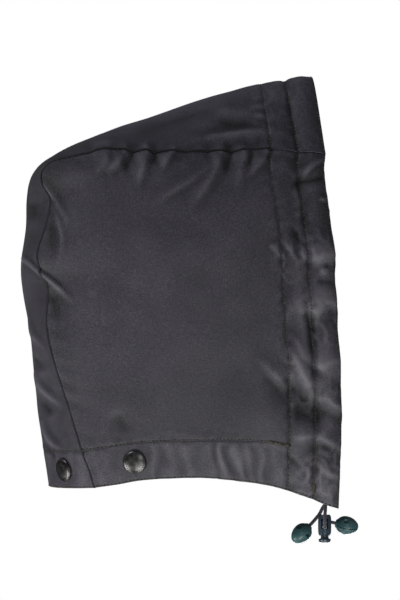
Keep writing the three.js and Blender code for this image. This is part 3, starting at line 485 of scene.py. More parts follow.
def creases(points, length, seed):
    """Sharp random ridges about this far apart, from -0.5 to 0.5."""
    return 0.5 - np.minimum(np.abs(ripple(points, length, seed)) * 1.1, 1)


def wobble(at, length, seed):
    """A random wave along one coordinate."""
    draw = np.random.RandomState(seed)
    total = np.zeros(np.shape(at))
    for _ in range(WOBBLE_WAVES):
        total += np.cos(at * 2 * math.pi / (length * draw.uniform(0.75, 1.3)) + draw.uniform(0, 2 * math.pi))
    return total / math.sqrt(WOBBLE_WAVES / 2)


def bump_at(distance, place, width):
    """1 at a place, falling smoothly to nothing at about twice this width from it."""
    return np.exp(-(((distance - place) / width) ** 2))


def pulled(away, held, reach):
    """How much of a pucker is left this far from its stitches: none in them and most just beside them."""
    return (1 - np.exp(-away / held)) * np.exp(-away / reach)


CHANNEL_FULL = 1.3  # how far the channel stands out over its cord, and the band behind it
BAND_FULL = 0.5
CHANNEL_SUNK = 0.9  # how deep the channel's stitches draw the cloth in, and the band's
BAND_SUNK = 0.3


def in_the_band(points, face):
    """The crumple and the two soft rolls of the band round the face, which are stronger low down."""
    inside = ease((FACE_BAND + 8 - face) / 12)
    low = ease((-70 - points[..., 2]) / 40)
    broad = 0.6 * creases(points, 75, 7) + 0.25 * ripple(points, 24, 11)
    fine = 0.85 * creases(points, 17, 12) + 0.1 * ripple(points, 8, 13)
    patches = ease(0.5 + 0.8 * ripple(points, 55, 15))
    height = inside * ((0.25 + 0.75 * low) * broad + (0.35 + 0.65 * low) * patches * fine)
    past_channel = (face - CHANNEL_LINE) / (FACE_BAND - CHANNEL_LINE)
    height += CHANNEL_FULL * np.sin(np.pi * np.clip(face / CHANNEL_LINE, 0, 1)) ** 2
    height += BAND_FULL * np.sin(np.pi * np.clip(past_channel, 0, 1)) ** 2
    height -= CHANNEL_SUNK * bump_at(face, CHANNEL_LINE, 3.2) + BAND_SUNK * bump_at(face, FACE_BAND, 2.6)
    for line, reach in ((CHANNEL_LINE, 4.5), (FACE_BAND, 4.0)):
        height += 0.3 * ripple(points, 9, 23) * pulled(np.abs(face - line), 1.2, reach)
    return height


def in_the_hem(points, face, hem):
    """The upright flutes between the neck stitches and the hem, and the puckers along those stitches."""
    x = points[..., 0]
    inside = ease((neck_line(face) + 4 - hem) / 12) * (0.45 + 0.55 * ease(hem / 8))
    waves = wobble(x + 0.08 * hem + 1.5 * ripple(points, 30, 18), 12, 17)
    flutes = waves * ease((x + 8) / 12) * ease((118 - x) / 14)
    height = 0.3 * inside * (flutes + ripple(points * [1, 1, 0.5], 14, 19))
    past_band = ease((face - FACE_BAND + 4) / 4)
    return height + 0.22 * ripple(points, 9, 29) * pulled(np.abs(hem - neck_line(face)), 1.2, 5) * past_band


def relief(points, face, hem, seam, gathered):
    """How far the cloth stands out of its plain form: its folds, crumple, gathers and flutes, and the pull of
    its seams. Each random term is a height times a pattern with a wavelength and a seed of its own."""
    x, z = points[..., 0], points[..., 2]
    height = fold_height(points) + 0.5 * ripple(points, 80, 3) + 0.1 * ripple(points, 26, 5)
    height += in_the_band(points, face) + in_the_hem(points, face, hem)
    if gathered:
        # The side panel is eased into the top seam and the back seam
        eased = ease((x + 60) / 30) * ease((104 - x) / 10)
        height += 0.25 * wobble(x + 0.4 * z, 11, 31) * eased * pulled(seam, 2, 8)
        height += 0.22 * wobble(z + 0.3 * x, 15, 37) * pulled(seam, 2.5, 8)
    else:
        height += 0.25 * ripple(points, 13, 41) * pulled(seam, 3, 9)
    for spot, _ in SNAPS.values():
        reach = np.linalg.norm(points - np.array(spot), axis=-1) / SNAP_CALM
        height *= 1 - np.exp(-(reach**4))
    return height


GROOVE = 1.1  # how wide the groove of a line of stitches is, and that of edge stitches
EDGE_GROOVE = 0.8


def stitched_in(face, hem):
    """How deep the thread itself pulls into the outer cloth."""
    depth = 0.5 * bump_at(face, CHANNEL_LINE, GROOVE) + 0.42 * bump_at(face, FACE_BAND, GROOVE)
    depth += 0.3 * bump_at(face, EDGE_LINE, EDGE_GROOVE) + 0.3 * bump_at(hem, EDGE_LINE, EDGE_GROOVE)
    return depth + 0.42 * bump_at(hem, neck_line(face), GROOVE) * ease((face - FACE_BAND + 1) / 2)


EDGE_ROUND = 1.15  # how the folded edges of the cloth are rounded


def rolled(distance):
    """How far the outer face drops where the cloth turns over its edge."""
    t = 1 - np.clip(distance / EDGE_ROUND, 0, 1)
    return EDGE_ROUND * (1 - np.sqrt(np.maximum(1 - t * t, 0)))


def side_sheet(side, u, v):
    """A side panel's cloth at u, v: its place, the way it faces, the height of its folds, how far it is from
    the face edge, the hem and the nearer seam, if that is the back one, and where it lies when flat."""
    u, v = np.broadcast_arrays(np.asarray(u, float), np.asarray(v, float))
    row = row_length(v)
    column = column_length(u)
    face, back, top, hem = (1 - u) * row, u * row, v * column, (1 - v) * column
    seam = np.minimum(top, back)
    s = np.where(top < back, top_station(u), back_station(v))
    behind = (back <= top) * ease(v * 12)
    point = side_base(u, v)
    out = towards_seam(side_normal(u, v), s, seam)
    if side < 0:
        point = point * [1, -1, 1]
        out = out * [1, -1, 1]
    height = relief(point, face, hem, seam, True)
    return {
        "point": point + out * height[..., None],
        "out": out,
        "height": height,
        "face": face,
        "hem": hem,
        "seam": seam,
        "behind": behind,
        "lie": np.stack([face, hem], axis=-1),
    }


SEAM_RUN = lengths_along(through(SEAM, STATIONS))
CENTRE_HALF = 70.0  # half the centre panel's width, on its flat map


def centre_sheet(s, across, from_seam):
    """The centre panel's cloth at station s, across from seam to seam, told as a side panel's is."""
    s, across, from_seam = np.broadcast_arrays(s, across, from_seam)
    run = np.interp(s, STATIONS, SEAM_RUN)
    face, hem = run, SEAM_RUN[-1] - run
    mirror = np.ones((*s.shape, 3))
    mirror[..., 1] = np.where(across < 0, -1, 1)
    point = centre_base(s, across)
    out = towards_seam(centre_normal(s, across) * mirror, s, from_seam) * mirror
    height = relief(point, face, hem, from_seam, False)
    return {
        "point": point + out * height[..., None],
        "out": out,
        "height": height,
        "face": face,
        "hem": hem,
        "seam": from_seam,
        "behind": ease((s - CORNER) / 1.5),
        "lie": np.stack([across * CENTRE_HALF, run], axis=-1),
    }


# How far the grid's lines are from an edge, a seam or a line of stitches, and from each other elsewhere
EDGE_LINES = [0, 0.12, 0.35, 0.7, 1.2, 1.8, 2.4, 3.2]
SEAM_LINES = np.array([0.15, 0.4, 0.8, 1.3, 2.0, 2.9, 4.0])
STITCH_LINES = [-1.8, -1.3, -0.9, -0.45, 0, 0.45, 0.9, 1.3, 1.8]
LINE_STEP = 1.7
PAST_STITCHES = 3.6


def ruled(length, marks):
    """Distances from an edge to a length, about LINE_STEP apart and closer together at the marks."""
    lines = list(EDGE_LINES)
    for mark in [*marks, None]:
        start = lines[-1]
        end = length if mark is None else mark + STITCH_LINES[0]
        count = max(1, round((end - start) / LINE_STEP))
        lines += [start + (end - start) * k / count for k in range(1, count + 1)]
        if mark is not None:
            lines += [mark + offset for offset in STITCH_LINES[1:]]
    return np.array(lines)


FACE_LINES = ruled(FACE_BAND + PAST_STITCHES, [CHANNEL_LINE, FACE_BAND])
HEM_LINES = ruled(NECK_BAND + PAST_STITCHES, [NECK_BAND])
BODY_COLUMNS = 112
BODY_ROWS = 136
CENTRE_CELLS = 66
TOP_CELLS = 230


def spread(total, near_lines, cells, far_lines):
    """Shares of a length from its far end: the far lines, even cells, then the lines at its near end."""
    total = np.asarray(total, float)[..., None]
    near = 1 - near_lines[..., ::-1] / total
    far = far_lines / total
    t = np.arange(1, cells) / cells
    return np.concatenate([far, far[..., -1:] * (1 - t) + near[..., :1] * t, near], axis=-1)


MIDDLE_ROWS = spread(column_length(0.5), HEM_LINES, BODY_ROWS, SEAM_LINES)


def raised_lines(distances, face):
    """Distances above the hem, stretched where the neck stitches rise."""
    return distances + neck_rise(face) * ease(distances / NECK_BAND)


def side_grid():
    """u and v at every crossing of the side panel's grid, in columns of rows."""
    u = spread(row_length(MIDDLE_ROWS), FACE_LINES, BODY_COLUMNS, SEAM_LINES).T
    lines = raised_lines(HEM_LINES, (1 - u[:, -1:]) * ROW_LENGTHS[-1])
    v = spread(column_length(u), lines[:, None], BODY_ROWS, SEAM_LINES)
    row = np.arange(u.shape[1])
    return u, v[:, row, row]


def station_of(run):
    """The station that is this far along the seam from the brow edge."""
    return np.interp(run, SEAM_RUN, STATIONS)


ACROSS = np.linspace(1, -1, 81)


def runs_across(s):
    """The centre panel's lengths from its right seam to each of ACROSS, one row for each station."""
    return lengths_along(centre_base(s[None, :], ACROSS[:, None])).T


def across_of(s, distances):
    """Where points lie across the centre panel, given their distances from its right seam."""
    return np.stack([np.interp(d, run, ACROSS) for d, run in zip(distances, runs_across(s))])


def centre_grid():
    """Station, across and distance from the nearer seam at every crossing of the centre panel's grid."""
    total = SEAM_RUN[-1]
    between = np.linspace(FACE_LINES[-1], total - HEM_LINES[-1], TOP_CELLS + 1)[1:-1]
    runs = np.concatenate([FACE_LINES, between, total - HEM_LINES[::-1]])
    s = station_of(runs)
    width = runs_across(s)[:, -1:]
    edge = np.concatenate([[0.0], SEAM_LINES[1:]])
    t = np.arange(1, CENTRE_CELLS) / CENTRE_CELLS
    distances = np.concatenate(
        [
            np.broadcast_to(edge, (len(s), len(edge))),
            edge[-1] + (width - 2 * edge[-1]) * t,
            width - edge[::-1],
        ],
        axis=1,
    )
    across = across_of(s, distances)
    return np.broadcast_to(s[:, None], across.shape), across, np.minimum(distances, width - distances)


# Meshes
def clear_selection():
    """Leaves edit mode with nothing selected."""
    if bpy.context.mode != "OBJECT":
        bpy.ops.object.mode_set(mode="OBJECT")
    bpy.ops.object.select_all(action="DESELECT")


def pick(piece):
    """Makes a piece the only one selected, and the one that operators work on."""
    clear_selection()
    piece.select_set(True)
    bpy.context.view_layer.objects.active = piece


def finish_piece(piece, material, nodes=(), body="hood"):
    """Gives a piece its finish, the body it rides on and the solids it stands for."""
    piece.data.materials.clear()
    piece.data.materials.append(material)
    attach(piece, body)
    if nodes:
        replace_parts(piece, *nodes)
    return piece


def mesh_piece(name, points, faces, lie=None, wear_and_shade=None):
    """A smooth mesh from points, with where each point lies on its cloth and how worn and how shaded it is
    painted.
    """
    mesh = bpy.data.meshes.new(name)
    mesh.vertices.add(len(points))
    mesh.vertices.foreach_set("co", (np.asarray(points) * MM).ravel())
    sizes = np.array([len(face) for face in faces])
    flat = np.concatenate(faces)
    mesh.loops.add(len(flat))
    mesh.loops.foreach_set("vertex_index", flat.astype(np.int32))
    mesh.polygons.add(len(sizes))
    starts = np.concatenate([[0], np.cumsum(sizes)[:-1]])
    mesh.polygons.foreach_set("loop_start", starts.astype(np.int32))
    mesh.polygons.foreach_set("loop_total", sizes.astype(np.int32))
    mesh.polygons.foreach_set("use_smooth", np.ones(len(sizes), bool))
    mesh.update(calc_edges=True)
    if lie is not None:
        layer = mesh.uv_layers.new(name="lie")
        layer.data.foreach_set("uv", (np.asarray(lie)[flat] * MM).ravel().astype(np.float32))
    if wear_and_shade is not None:
        layer = mesh.attributes.new("wear_and_shade", "FLOAT", "POINT")
        layer.data.foreach_set("value", np.asarray(wear_and_shade, np.float32))
    mesh.validate()
    piece = bpy.data.objects.new(name, mesh)
    SCENE.collection.objects.link(piece)
    return piece


def wall(name, outer, inner, lie, wear_and_shade):
    """A closed wall between two grids of points, both faces given the same map and the same painted wear and
    shade.
    """
    rows, columns = outer.shape[:2]
    index = np.arange(rows * columns).reshape(rows, columns)
    a, b, c, d = index[:-1, :-1], index[1:, :-1], index[1:, 1:], index[:-1, 1:]
    front = np.stack([a, b, c, d], axis=-1).reshape(-1, 4)
    back = front[:, ::-1] + rows * columns
    ring = np.concatenate([index[:-1, 0], index[-1, :-1], index[:0:-1, -1], index[0, :0:-1]])
    after = np.roll(ring, -1)
    rim = np.stack([ring, ring + rows * columns, after + rows * columns, after], axis=-1)
    faces = np.concatenate([front, back, rim])
    i, j = rows // 2, columns // 2
    normal = np.cross(outer[i + 1, j] - outer[i, j], outer[i, j + 1] - outer[i, j])
    if np.dot(normal, outer[i, j] - inner[i, j]) < 0:
        faces = faces[:, ::-1]
    points = np.concatenate([outer.reshape(-1, 3), inner.reshape(-1, 3)])
    lie = np.concatenate([lie.reshape(-1, 2)] * 2)
    wear_and_shade = np.concatenate([wear_and_shade.ravel()] * 2)
    return mesh_piece(name, points, faces, lie, wear_and_shade)


def blurred(height, times):
    """A grid of heights, each moved this many times towards the mean of its neighbours."""
    for _ in range(times):
        padded = np.pad(height, 1, mode="edge")
        height = (padded[:-2, 1:-1] + padded[2:, 1:-1] + padded[1:-1, :-2] + padded[1:-1, 2:] + height) / 5
    return height


# Broad patches painted paler or darker: where forward and up, how long and high, and how much paler
TONE_PATCHES = [
    (75, -80, 30, 42, 0.1),
    (48, -198, 48, 32, -0.07),
    (-74, -150, 16, 45, -0.2),
    (-92, -225, 12, 30, 0.15),
]
# How pale plain cloth is; what creases add, which is rubbed wax on their ridges with painted light on the
# ridges and painted shade in their hollows; the painted light and shade on broad folds; how much paler the
# band round the face is; how much darker the edges are; and the painted shade in the stitch grooves and the
# painted shadow in the seams
PLAIN_WEAR = 0.4
CREASE_WEAR_AND_SHADE = 0.4
FOLD_LIGHT_AND_SHADE = 0.1
BRIM_PALER = 0.12
EDGE_DARKENING = 0.6
STITCH_SHADE = 0.07
SEAM_SHADOW = 0.7


def shade_and_tone_patches(point, in_neck):
    """How much paler or darker the cloth is painted in broad places: painted light in the neck band; painted
    shade towards the top, low on the sides, on the upper back and at the top of the band round the face; paler
    near the ridge on top; and the listed patches, painted paler or darker.
    """
    fore, up = point[..., 0], point[..., 2]
    paler = 0.07 * in_neck - 0.1 * ease((up + 90) / 60)
    paler -= 0.1 * ease((-195 - up) / 30) * (1 - in_neck)
    paler -= 0.2 * ease((-62 - fore) / 16) * ease((up + 118) / 20)
    paler -= 0.12 * ease((fore - 98) / 14) * ease((up + 98) / 16)
    paler += 0.3 * bump_at(point[..., 1], 0, 26) * ease((fore + 65) / 25) * ease((up + 60) / 20)
    for at_fore, at_up, long, high, amount in TONE_PATCHES:
        paler += amount * bump_at(fore, at_fore, long) * bump_at(up, at_up, high)
    return paler


def wear_and_shading(sheet):
    """How worn and how shaded the cloth is painted, from -0.5, darkest, to 1, palest: rubbed wax on crease
    ridges, painted light and shade on folds and hollows, painted shade in the stitch grooves, painted shadow
    in the seams, darker edges and broad patches of painted light and shade.
    """
    height, point = sheet["height"], sheet["point"]
    face, hem, up = sheet["face"], sheet["hem"], point[..., 2]
    # Crease ridges paler, as rubbed wax and painted light, and crease hollows darker, as painted shade; broad
    # folds get painted light and shade
    wear_and_shade = PLAIN_WEAR + CREASE_WEAR_AND_SHADE * (height - blurred(height, 8))
    wear_and_shade += FOLD_LIGHT_AND_SHADE * (height - blurred(height, 60))
    wear_and_shade += shade_and_tone_patches(point, ease((neck_line(face) - hem) / 3))
    # Paler in the lower band round the face
    wear_and_shade += BRIM_PALER * ease((FACE_BAND + 2 - face) / 16) * ease((-88 - up) / 25) * ease((up + 232) / 25)
    # Darker along the face edge and the hem
    wear_and_shade -= EDGE_DARKENING * (bump_at(face, 0, 0.9) + bump_at(hem, 0, 0.9))
    # Painted shade along the grooves of the lines of stitches
    stitch_groove_shade = bump_at(face, CHANNEL_LINE, 1.7) + bump_at(face, FACE_BAND, 1.7)
    neck_shade_reach = ease((face - FACE_BAND) / 3) * ease((110 - face) / 60)
    stitch_groove_shade += 0.6 * bump_at(hem, neck_line(face), 1.2) * neck_shade_reach
    # Painted shadow in the seam grooves under the centre panel's lap, weaker in the band round the face and
    # down the back
    seam_groove_shadow = bump_at(sheet["seam"], 0, 0.6) * (0.3 + 0.7 * past_the_band(face)) * (1 - 0.2 * sheet["behind"])
    uneven = 1 + 0.35 * ripple(point, 25, 43)
    return np.clip(wear_and_shade - (STITCH_SHADE * stitch_groove_shade + SEAM_SHADOW * seam_groove_shadow) * uneven, -0.5, 1)


def past_the_band(face):
    """0 in the band round the face and 1 behind it."""
    return ease((face - FACE_BAND + 6) / 8)


SEAM_STEP = 0.8  # the side panels lie this much lower along the seams
SEAM_LIFT = 0.6  # and the centre panel, folded over its allowance, this much higher


def sewn_face(sheet):
    """How far the cloth's outer face is from its inner one, with its stitches and rolled edges."""
    face, hem = sheet["face"], sheet["hem"]
    return CLOTH - stitched_in(face, hem) - rolled(face) - rolled(hem)


def side_face(sheet):
    """A side panel's outer face, pressed down along its seams."""
    return sewn_face(sheet) - SEAM_STEP * (1 - 0.5 * sheet["behind"]) * bump_at(sheet["seam"], 0, 0.9)


def seam_lift(sheet):
    """How much higher the centre panel is near its seams, over its folded allowance."""
    return SEAM_LIFT * np.exp(-((sheet["seam"] / 4.5) ** 1.5))


def centre_face(sheet):
    """The centre panel's outer face, lifted along its seams and pressed flatter at the brow edge."""
    return sewn_face(sheet) + seam_lift(sheet) * (1 - 0.5 * np.exp(-sheet["face"] / 2))


def raised(sheet, level):
    """Points this far out from the cloth's inner face."""
    return sheet["point"] + sheet["out"] * np.asarray(level)[..., None]


def side_panel(word, side, materials):
    """A side panel of waxed cotton, both faces and its rolled edges."""
    sheet = side_sheet(side, *side_grid())
    outer = raised(sheet, side_face(sheet))
    panel = wall(f"cloth_side_{word}", outer, sheet["point"], sheet["lie"], wear_and_shading(sheet))
    finish_piece(panel, materials["waxed_cotton"], [f"side_panel_{word}"])


# The centre panel's folded edge: how far past its seam and how high, on its outer and its inner face
LIP_OUTER = [(0.3, CLOTH + 0.5), (0.6, CLOTH + 0.3), (0.7, CLOTH + 0.05)]
LIP_INNER = [(0.08, CLOTH * 0.6), (0.25, CLOTH - 0.1), (0.45, CLOTH - 0.1)]


def lip(sheet, column, side, outline):
    """The centre panel's folded edge where it laps over a side panel, as lines beyond its seam."""
    s = station_of(sheet["face"][:, column])
    u = np.where(s <= CORNER, np.interp(s, STATIONS, TOP_SHARES), 0)
    v = np.where(s > CORNER, np.interp(s, STATIONS, BACK_SHARES), 0)
    in_u = np.where(s > CORNER, 2 / row_length(v), u)
    in_v = np.where(s <= CORNER, 2 / column_length(u), v)
    inside = side_base(in_u, in_v)
    into = unit(inside - side_base(u, v)) * [1, side, 1]
    point, out = sheet["point"][:, column], sheet["out"][:, column]
    return [point + into * across + out * up for across, up in outline]


def centre_panel(materials):
    """The strip from the brow to the nape, whose folded edges lap over the side panels."""
    sheet = centre_sheet(*centre_grid())
    faces = {}
    for name, level, outline in (
        ("outer", centre_face(sheet), LIP_OUTER),
        ("inner", np.zeros(sheet["face"].shape), LIP_INNER),
    ):
        right = lip(sheet, 0, 1, outline)[::-1]
        left = lip(sheet, -1, -1, outline)
        body = raised(sheet, level)
        faces[name] = np.concatenate([np.stack(right, axis=1), body, np.stack(left, axis=1)], axis=1)
    extra = len(LIP_OUTER)
    lie = np.pad(sheet["lie"], ((0, 0), (extra, extra), (0, 0)), mode="edge")
    # The folded lip is painted: a painted highlight on it in the band round the face, painted shade behind the
    # band, a little less down the back
    lip_light_and_shade = 0.45 - 0.6 * past_the_band(sheet["face"][:, :1]) + 0.3 * sheet["behind"][:, :1]
    lip_light_and_shade = lip_light_and_shade * np.ones((1, extra))
    wear_and_shade = np.concatenate([lip_light_and_shade, wear_and_shading(sheet), lip_light_and_shade], axis=1)
    panel = wall("cloth_centre", faces["outer"], faces["inner"], lie, wear_and_shade)
    finish_piece(panel, materials["waxed_cotton"], ["centre_panel"])


def joined(*sheets):
    """Sheets one after another, as one sheet."""
    return {key: np.concatenate([sheet[key] for sheet in sheets]) for key in sheets[0]}


ROUND_CENTRE = np.linspace(0, 1, 62)[1:-1]
FACING_PAST = 0.95  # how far a facing runs on past its stitches
FACING_RIM = 0.4  # how thin its rolled edge becomes
FAR_OFF = 90.0  # a distance at which no stitches are felt


def centre_lines(s):
    """Distances across the centre panel, evenly spaced, for each station, and where they are."""
    width = runs_across(s)[:, -1:]
    distances = width * ROUND_CENTRE
    return across_of(s, distances), np.minimum(distances, width - distances)


def round_the_face(distances):
    """The cloth at these distances from the face edge, from the right corner over the brow to the left."""
    v = np.concatenate([[0.0], MIDDLE_ROWS[2:]])
    u = 1 - distances / row_length(v)[:, None]
    down = np.broadcast_to(v[:, None], u.shape)
    s = station_of(distances)
    across, seam = centre_lines(s)
    middle = centre_sheet(np.broadcast_to(s[:, None], across.shape).T, across.T, seam.T)
    right = side_sheet(1, u[::-1], down[::-1])
    return joined(right, middle, side_sheet(-1, u, down))


def round_the_neck(distances, start):
    """The cloth at these distances above the hem, from the right face edge round the nape to the left one."""
    row = row_length(1)
    u = np.linspace(1 - start / row, 0, BODY_COLUMNS)
    v = 1 - raised_lines(distances, ((1 - u) * row)[:, None]) / column_length(u)[:, None]
    along = np.broadcast_to(u[:, None], v.shape)
    s = station_of(SEAM_RUN[-1] - distances)
    across, seam = centre_lines(s)
    middle = centre_sheet(np.broadcast_to(s[:, None], across.shape).T, across.T, seam.T)
    return joined(side_sheet(1, along, v), middle, side_sheet(-1, along[::-1], v[::-1]))


def channel_room(face):
    """How far the face facing stands off the outer cloth, to leave room for the drawcord."""
    return PLY_GAP + (TUNNEL - PLY_GAP) * np.sin(np.pi * np.clip(face / CHANNEL_LINE, 0, 1)) ** 1.6


def facing_seat(face, hem):
    """How deep the stitches pull into the facings."""
    edges = bump_at(face, EDGE_LINE, EDGE_GROOVE) + bump_at(hem, EDGE_LINE, EDGE_GROOVE)
    return 0.3 * (bump_at(face, CHANNEL_LINE, GROOVE) + edges)


def face_facing(materials):
    """The band inside the face opening, with the drawcord's channel."""
    sheet = round_the_face(FACE_LINES[FACE_LINES <= FACE_BAND + FACING_PAST])
    face, hem = sheet["face"], sheet["hem"]
    room = channel_room(face)
    back = np.minimum(rolled(face) + rolled(hem), FACING - FACING_RIM)
    inner = back + facing_seat(face, hem) - room - FACING
    band = wall("cloth_face_facing", raised(sheet, -room), raised(sheet, inner), sheet["lie"], wear_and_shading(sheet))
    finish_piece(band, materials["facing_cotton"], ["face_facing"])


def neck_facing(materials):
    """The band inside the hem that backs the press studs."""
    sheet = round_the_neck(HEM_LINES[HEM_LINES <= NECK_BAND + FACING_PAST], FACE_BAND + 1.4)
    hem = sheet["hem"]
    back = np.minimum(rolled(hem), FACING - FACING_RIM)
    inner = back + facing_seat(np.full_like(hem, FAR_OFF), hem) - PLY_GAP - FACING
    band = wall("cloth_neck_facing", raised(sheet, -PLY_GAP), raised(sheet, inner), sheet["lie"], wear_and_shading(sheet))
    finish_piece(band, materials["facing_cotton"], ["neck_facing"])


# Stitching
STITCH_PITCH = 3.0
STITCH_LENGTH = 2.1
STITCH_WIDTH = 1.0
STITCH_SLANT = 0.07
STITCH_PROUD = 0.22  # how far the thread's middle is above the cloth that it pulls in, outside
STITCH_INSIDE = 0.15  # and how deep it is in the facings, inside


def single_stitch():
    """One stitch of thread along +X, modelled once."""
    clear_selection()
    bpy.ops.mesh.primitive_uv_sphere_add(segments=6, ring_count=5, radius=0.5, rotation=(0, math.pi / 2, 0))
    stitch = bpy.context.object
    bpy.ops.object.transform_apply(location=True, rotation=True, scale=True)
    mesh = stitch.data
    points = np.array([v.co for v in mesh.vertices])
    faces = [list(p.vertices) for p in mesh.polygons]
    bpy.data.objects.remove(stitch)
    # Blunter ends than a ball's
    points[:, 0] = np.sign(points[:, 0]) * 0.5 * (np.abs(points[:, 0]) / 0.5) ** 0.8
    return points, faces


STITCH = single_stitch()


def stitch_copies(name, centres, along, out, length, width, material):
    """A copy of the stitch at every centre, in one mesh."""
    shape, pattern = STITCH
    across = np.cross(out, along)
    sized = shape * [length, width, width * 0.8]
    points = (
        centres[:, None]
        + along[:, None] * sized[None, :, 0:1]
        + across[:, None] * sized[None, :, 1:2]
        + out[:, None] * sized[None, :, 2:3]
    )
    faces = [[corner + k * len(shape) for corner in face] for k in range(len(centres)) for face in pattern]
    finish_piece(mesh_piece(name, points.reshape(-1, 3), faces), material)


def stitch_line(name, points, out, material):
    """A row of stitches along a line of points on the cloth."""
    run = lengths_along(points)
    count = int(run[-1] / STITCH_PITCH)
    at = (np.arange(count) + 0.5) * run[-1] / count
    normal = unit(at_lengths(at, run, out))
    along = unit(at_lengths(at + 1, run, points) - at_lengths(at - 1, run, points))
    along = unit(along - normal * (along * normal).sum(-1, keepdims=True))
    along = unit(along + STITCH_SLANT * np.cross(normal, along))
    stitch_copies(name, at_lengths(at, run, points), along, normal, STITCH_LENGTH, STITCH_WIDTH, material)


def thread_level(sheet):
    """How high the thread runs outside: pulled into the cloth, but over the centre panel's lifted seams."""
    seam_out = np.interp(sheet["face"], SEAM_RUN, through(SEAM, STATIONS)[:, 1])
    on_centre = np.abs(sheet["point"][:, 1]) < np.abs(seam_out)
    level = CLOTH + STITCH_PROUD - stitched_in(sheet["face"], sheet["hem"])
    return level + np.where(on_centre, seam_lift(sheet), 0)


def stitching(materials):
    """Every line of machine stitches, outside on the cloth and inside on its facing."""
    thread = materials["thread"]
    for name, distance in (("edge", EDGE_LINE), ("channel", CHANNEL_LINE), ("facing", FACE_BAND)):
        sheet = {key: rows[:, 0] for key, rows in round_the_face(np.array([distance])).items()}
        keep = sheet["hem"] > 1.5
        outside = raised(sheet, thread_level(sheet))
        stitch_line(f"stitches_face_{name}", outside[keep], sheet["out"][keep], thread)
        inside = raised(sheet, STITCH_INSIDE - channel_room(sheet["face"]) - FACING)
        stitch_line(f"stitches_face_{name}_inside", inside[keep], -sheet["out"][keep], thread)
    for name, distance, start in (("hem", EDGE_LINE, EDGE_LINE), ("neck", NECK_BAND, FACE_BAND + 0.5)):
        sheet = {key: rows[:, 0] for key, rows in round_the_neck(np.array([distance]), start).items()}
        stitch_line(f"stitches_{name}", raised(sheet, thread_level(sheet)), sheet["out"], thread)
        keep = sheet["face"] > FACE_BAND + 2
        inside = raised(sheet, STITCH_INSIDE - PLY_GAP - FACING)
        stitch_line(f"stitches_{name}_inside", inside[keep], -sheet["out"][keep], thread)


TACK_PITCH = 0.5
TACK_LENGTH = 2.6
TACK_SLANT = 0.12
TACK_PROUD = 0.12
NECK_TACK = (58.5, 40.5)  # from the face edge, where each tack begins and ends along the neck stitches
CHANNEL_TACK = (13.0, 6.0)  # and above the hem, on the channel's stitches


def bar_tack(name, sheet, material):
    """Close stitches across a line of cloth, which hold the end of a seam."""
    points = raised(sheet, CLOTH + TACK_PROUD)
    run = lengths_along(points)
    count = int(run[-1] / TACK_PITCH)
    at = np.linspace(0, run[-1], count)
    normal = unit(at_lengths(at, run, sheet["out"]))
    line = unit(points[-1:] - points[:1])
    across = unit(np.cross(normal, line))
    slanted = unit(across + TACK_SLANT * line * np.where(np.arange(count) % 2, 1, -1)[:, None])
    stitch_copies(name, at_lengths(at, run, points), slanted, normal, TACK_LENGTH, STITCH_WIDTH, material)


def bar_tacks(materials):
    """The tacks at the neck facing's front end and at the channel's mouth, on both sides."""
    for word, side in (("right", 1), ("left", -1)):
        from_face = np.linspace(*NECK_TACK, 12)
        u = 1 - from_face / row_length(1)
        neck = side_sheet(side, u, 1 - neck_line(from_face) / column_length(u))
        bar_tack(f"bar_tack_neck_{word}", neck, materials["thread"])
        v = 1 - np.linspace(*CHANNEL_TACK, 8) / column_length(1)
        mouth = side_sheet(side, 1 - CHANNEL_LINE / row_length(v), v)
        bar_tack(f"bar_tack_channel_{word}", mouth, materials["thread"])


# Cords: where each leaves the end of its channel, the channel's mouth, and the points that it passes below,
# as forward, out and up from where it leaves
EXIT = {1: (140.521, -62.180, -304.635), -1: (140.521, 62.180, -304.635)}
MOUTH = {1: (140.374, -60.977, -308.447), -1: (140.374, 60.977, -308.447)}
RIGHT_TAIL = [
    (-0.2, 0.3, -8),
    (-0.5, 2.3, -12),
    (-0.8, 3.6, -16.8),
    (-0.8, 2.85, -19.6),
    (-0.8, 0.7, -21.65),
    (-0.8, -2.1, -22.4),
    (-0.8, -5.9, -22.4),
    (-0.8, -9.7, -22.3),
    (0.1, -13.2, -21),
    (1.9, -15.2, -19.5),
    (4.3, -15.8, -18.8),
    (7.8, -15.8, -19.5),
    (11.2, -15.8, -20.2),
    (14.6, -15.8, -20.9),
]
LEFT_TAIL = [
    (-2.4, -1.5, -7.2),
    (-4.7, -2.4, -11.8),
    (-7.9, -4.4, -15.9),
    (-11, -6.05, -19.4),
    (-13, -6.8, -21.4),
    (-15.4, -7.7, -23.8),
    (-17.8, -8.6, -26.2),
]
LOCK_HOLE = (-0.8, -3.7, -22.4)  # where the right tail goes through the lock
CORD_GRIP = 7.0  # how deep a tail goes into its cord end
CORD_SIDES = 16
EXIT_CLEAR = 9.0  # how near to its exits the cord in the channel has turned towards them


def route(side):
    """The points that a cord tail passes, from inside the channel to inside its cord end."""
    start = np.array(EXIT[side])
    below = [start + [fore, -side * out, up] for fore, out, up in (RIGHT_TAIL if side > 0 else LEFT_TAIL)]
    return np.array([start, MOUTH[side], *below])


def flowing(points, steps):
    """A smooth curve through points that may be unevenly spaced."""
    ends = [2 * points[0] - points[1], *points, 2 * points[-1] - points[-2]]
    line = []
    for a, b, c, d in zip(ends, ends[1:], ends[2:], ends[3:]):
        spans = ((a, b), (b, c), (c, d))
        before, within, after = (max(np.linalg.norm(q - p), 1e-6) ** 0.5 for p, q in spans)
        leave = ((b - a) / before - (c - a) / (before + within) + (c - b) / within) * within
        arrive = ((c - b) / within - (d - b) / (within + after) + (d - c) / after) * within
        for t in np.arange(steps) / steps:
            bend = (2 * b - 2 * c + leave + arrive) * t + (3 * c - 3 * b - 2 * leave - arrive)
            line.append(b + t * (leave + t * bend))
    return np.array([*line, points[-1]])


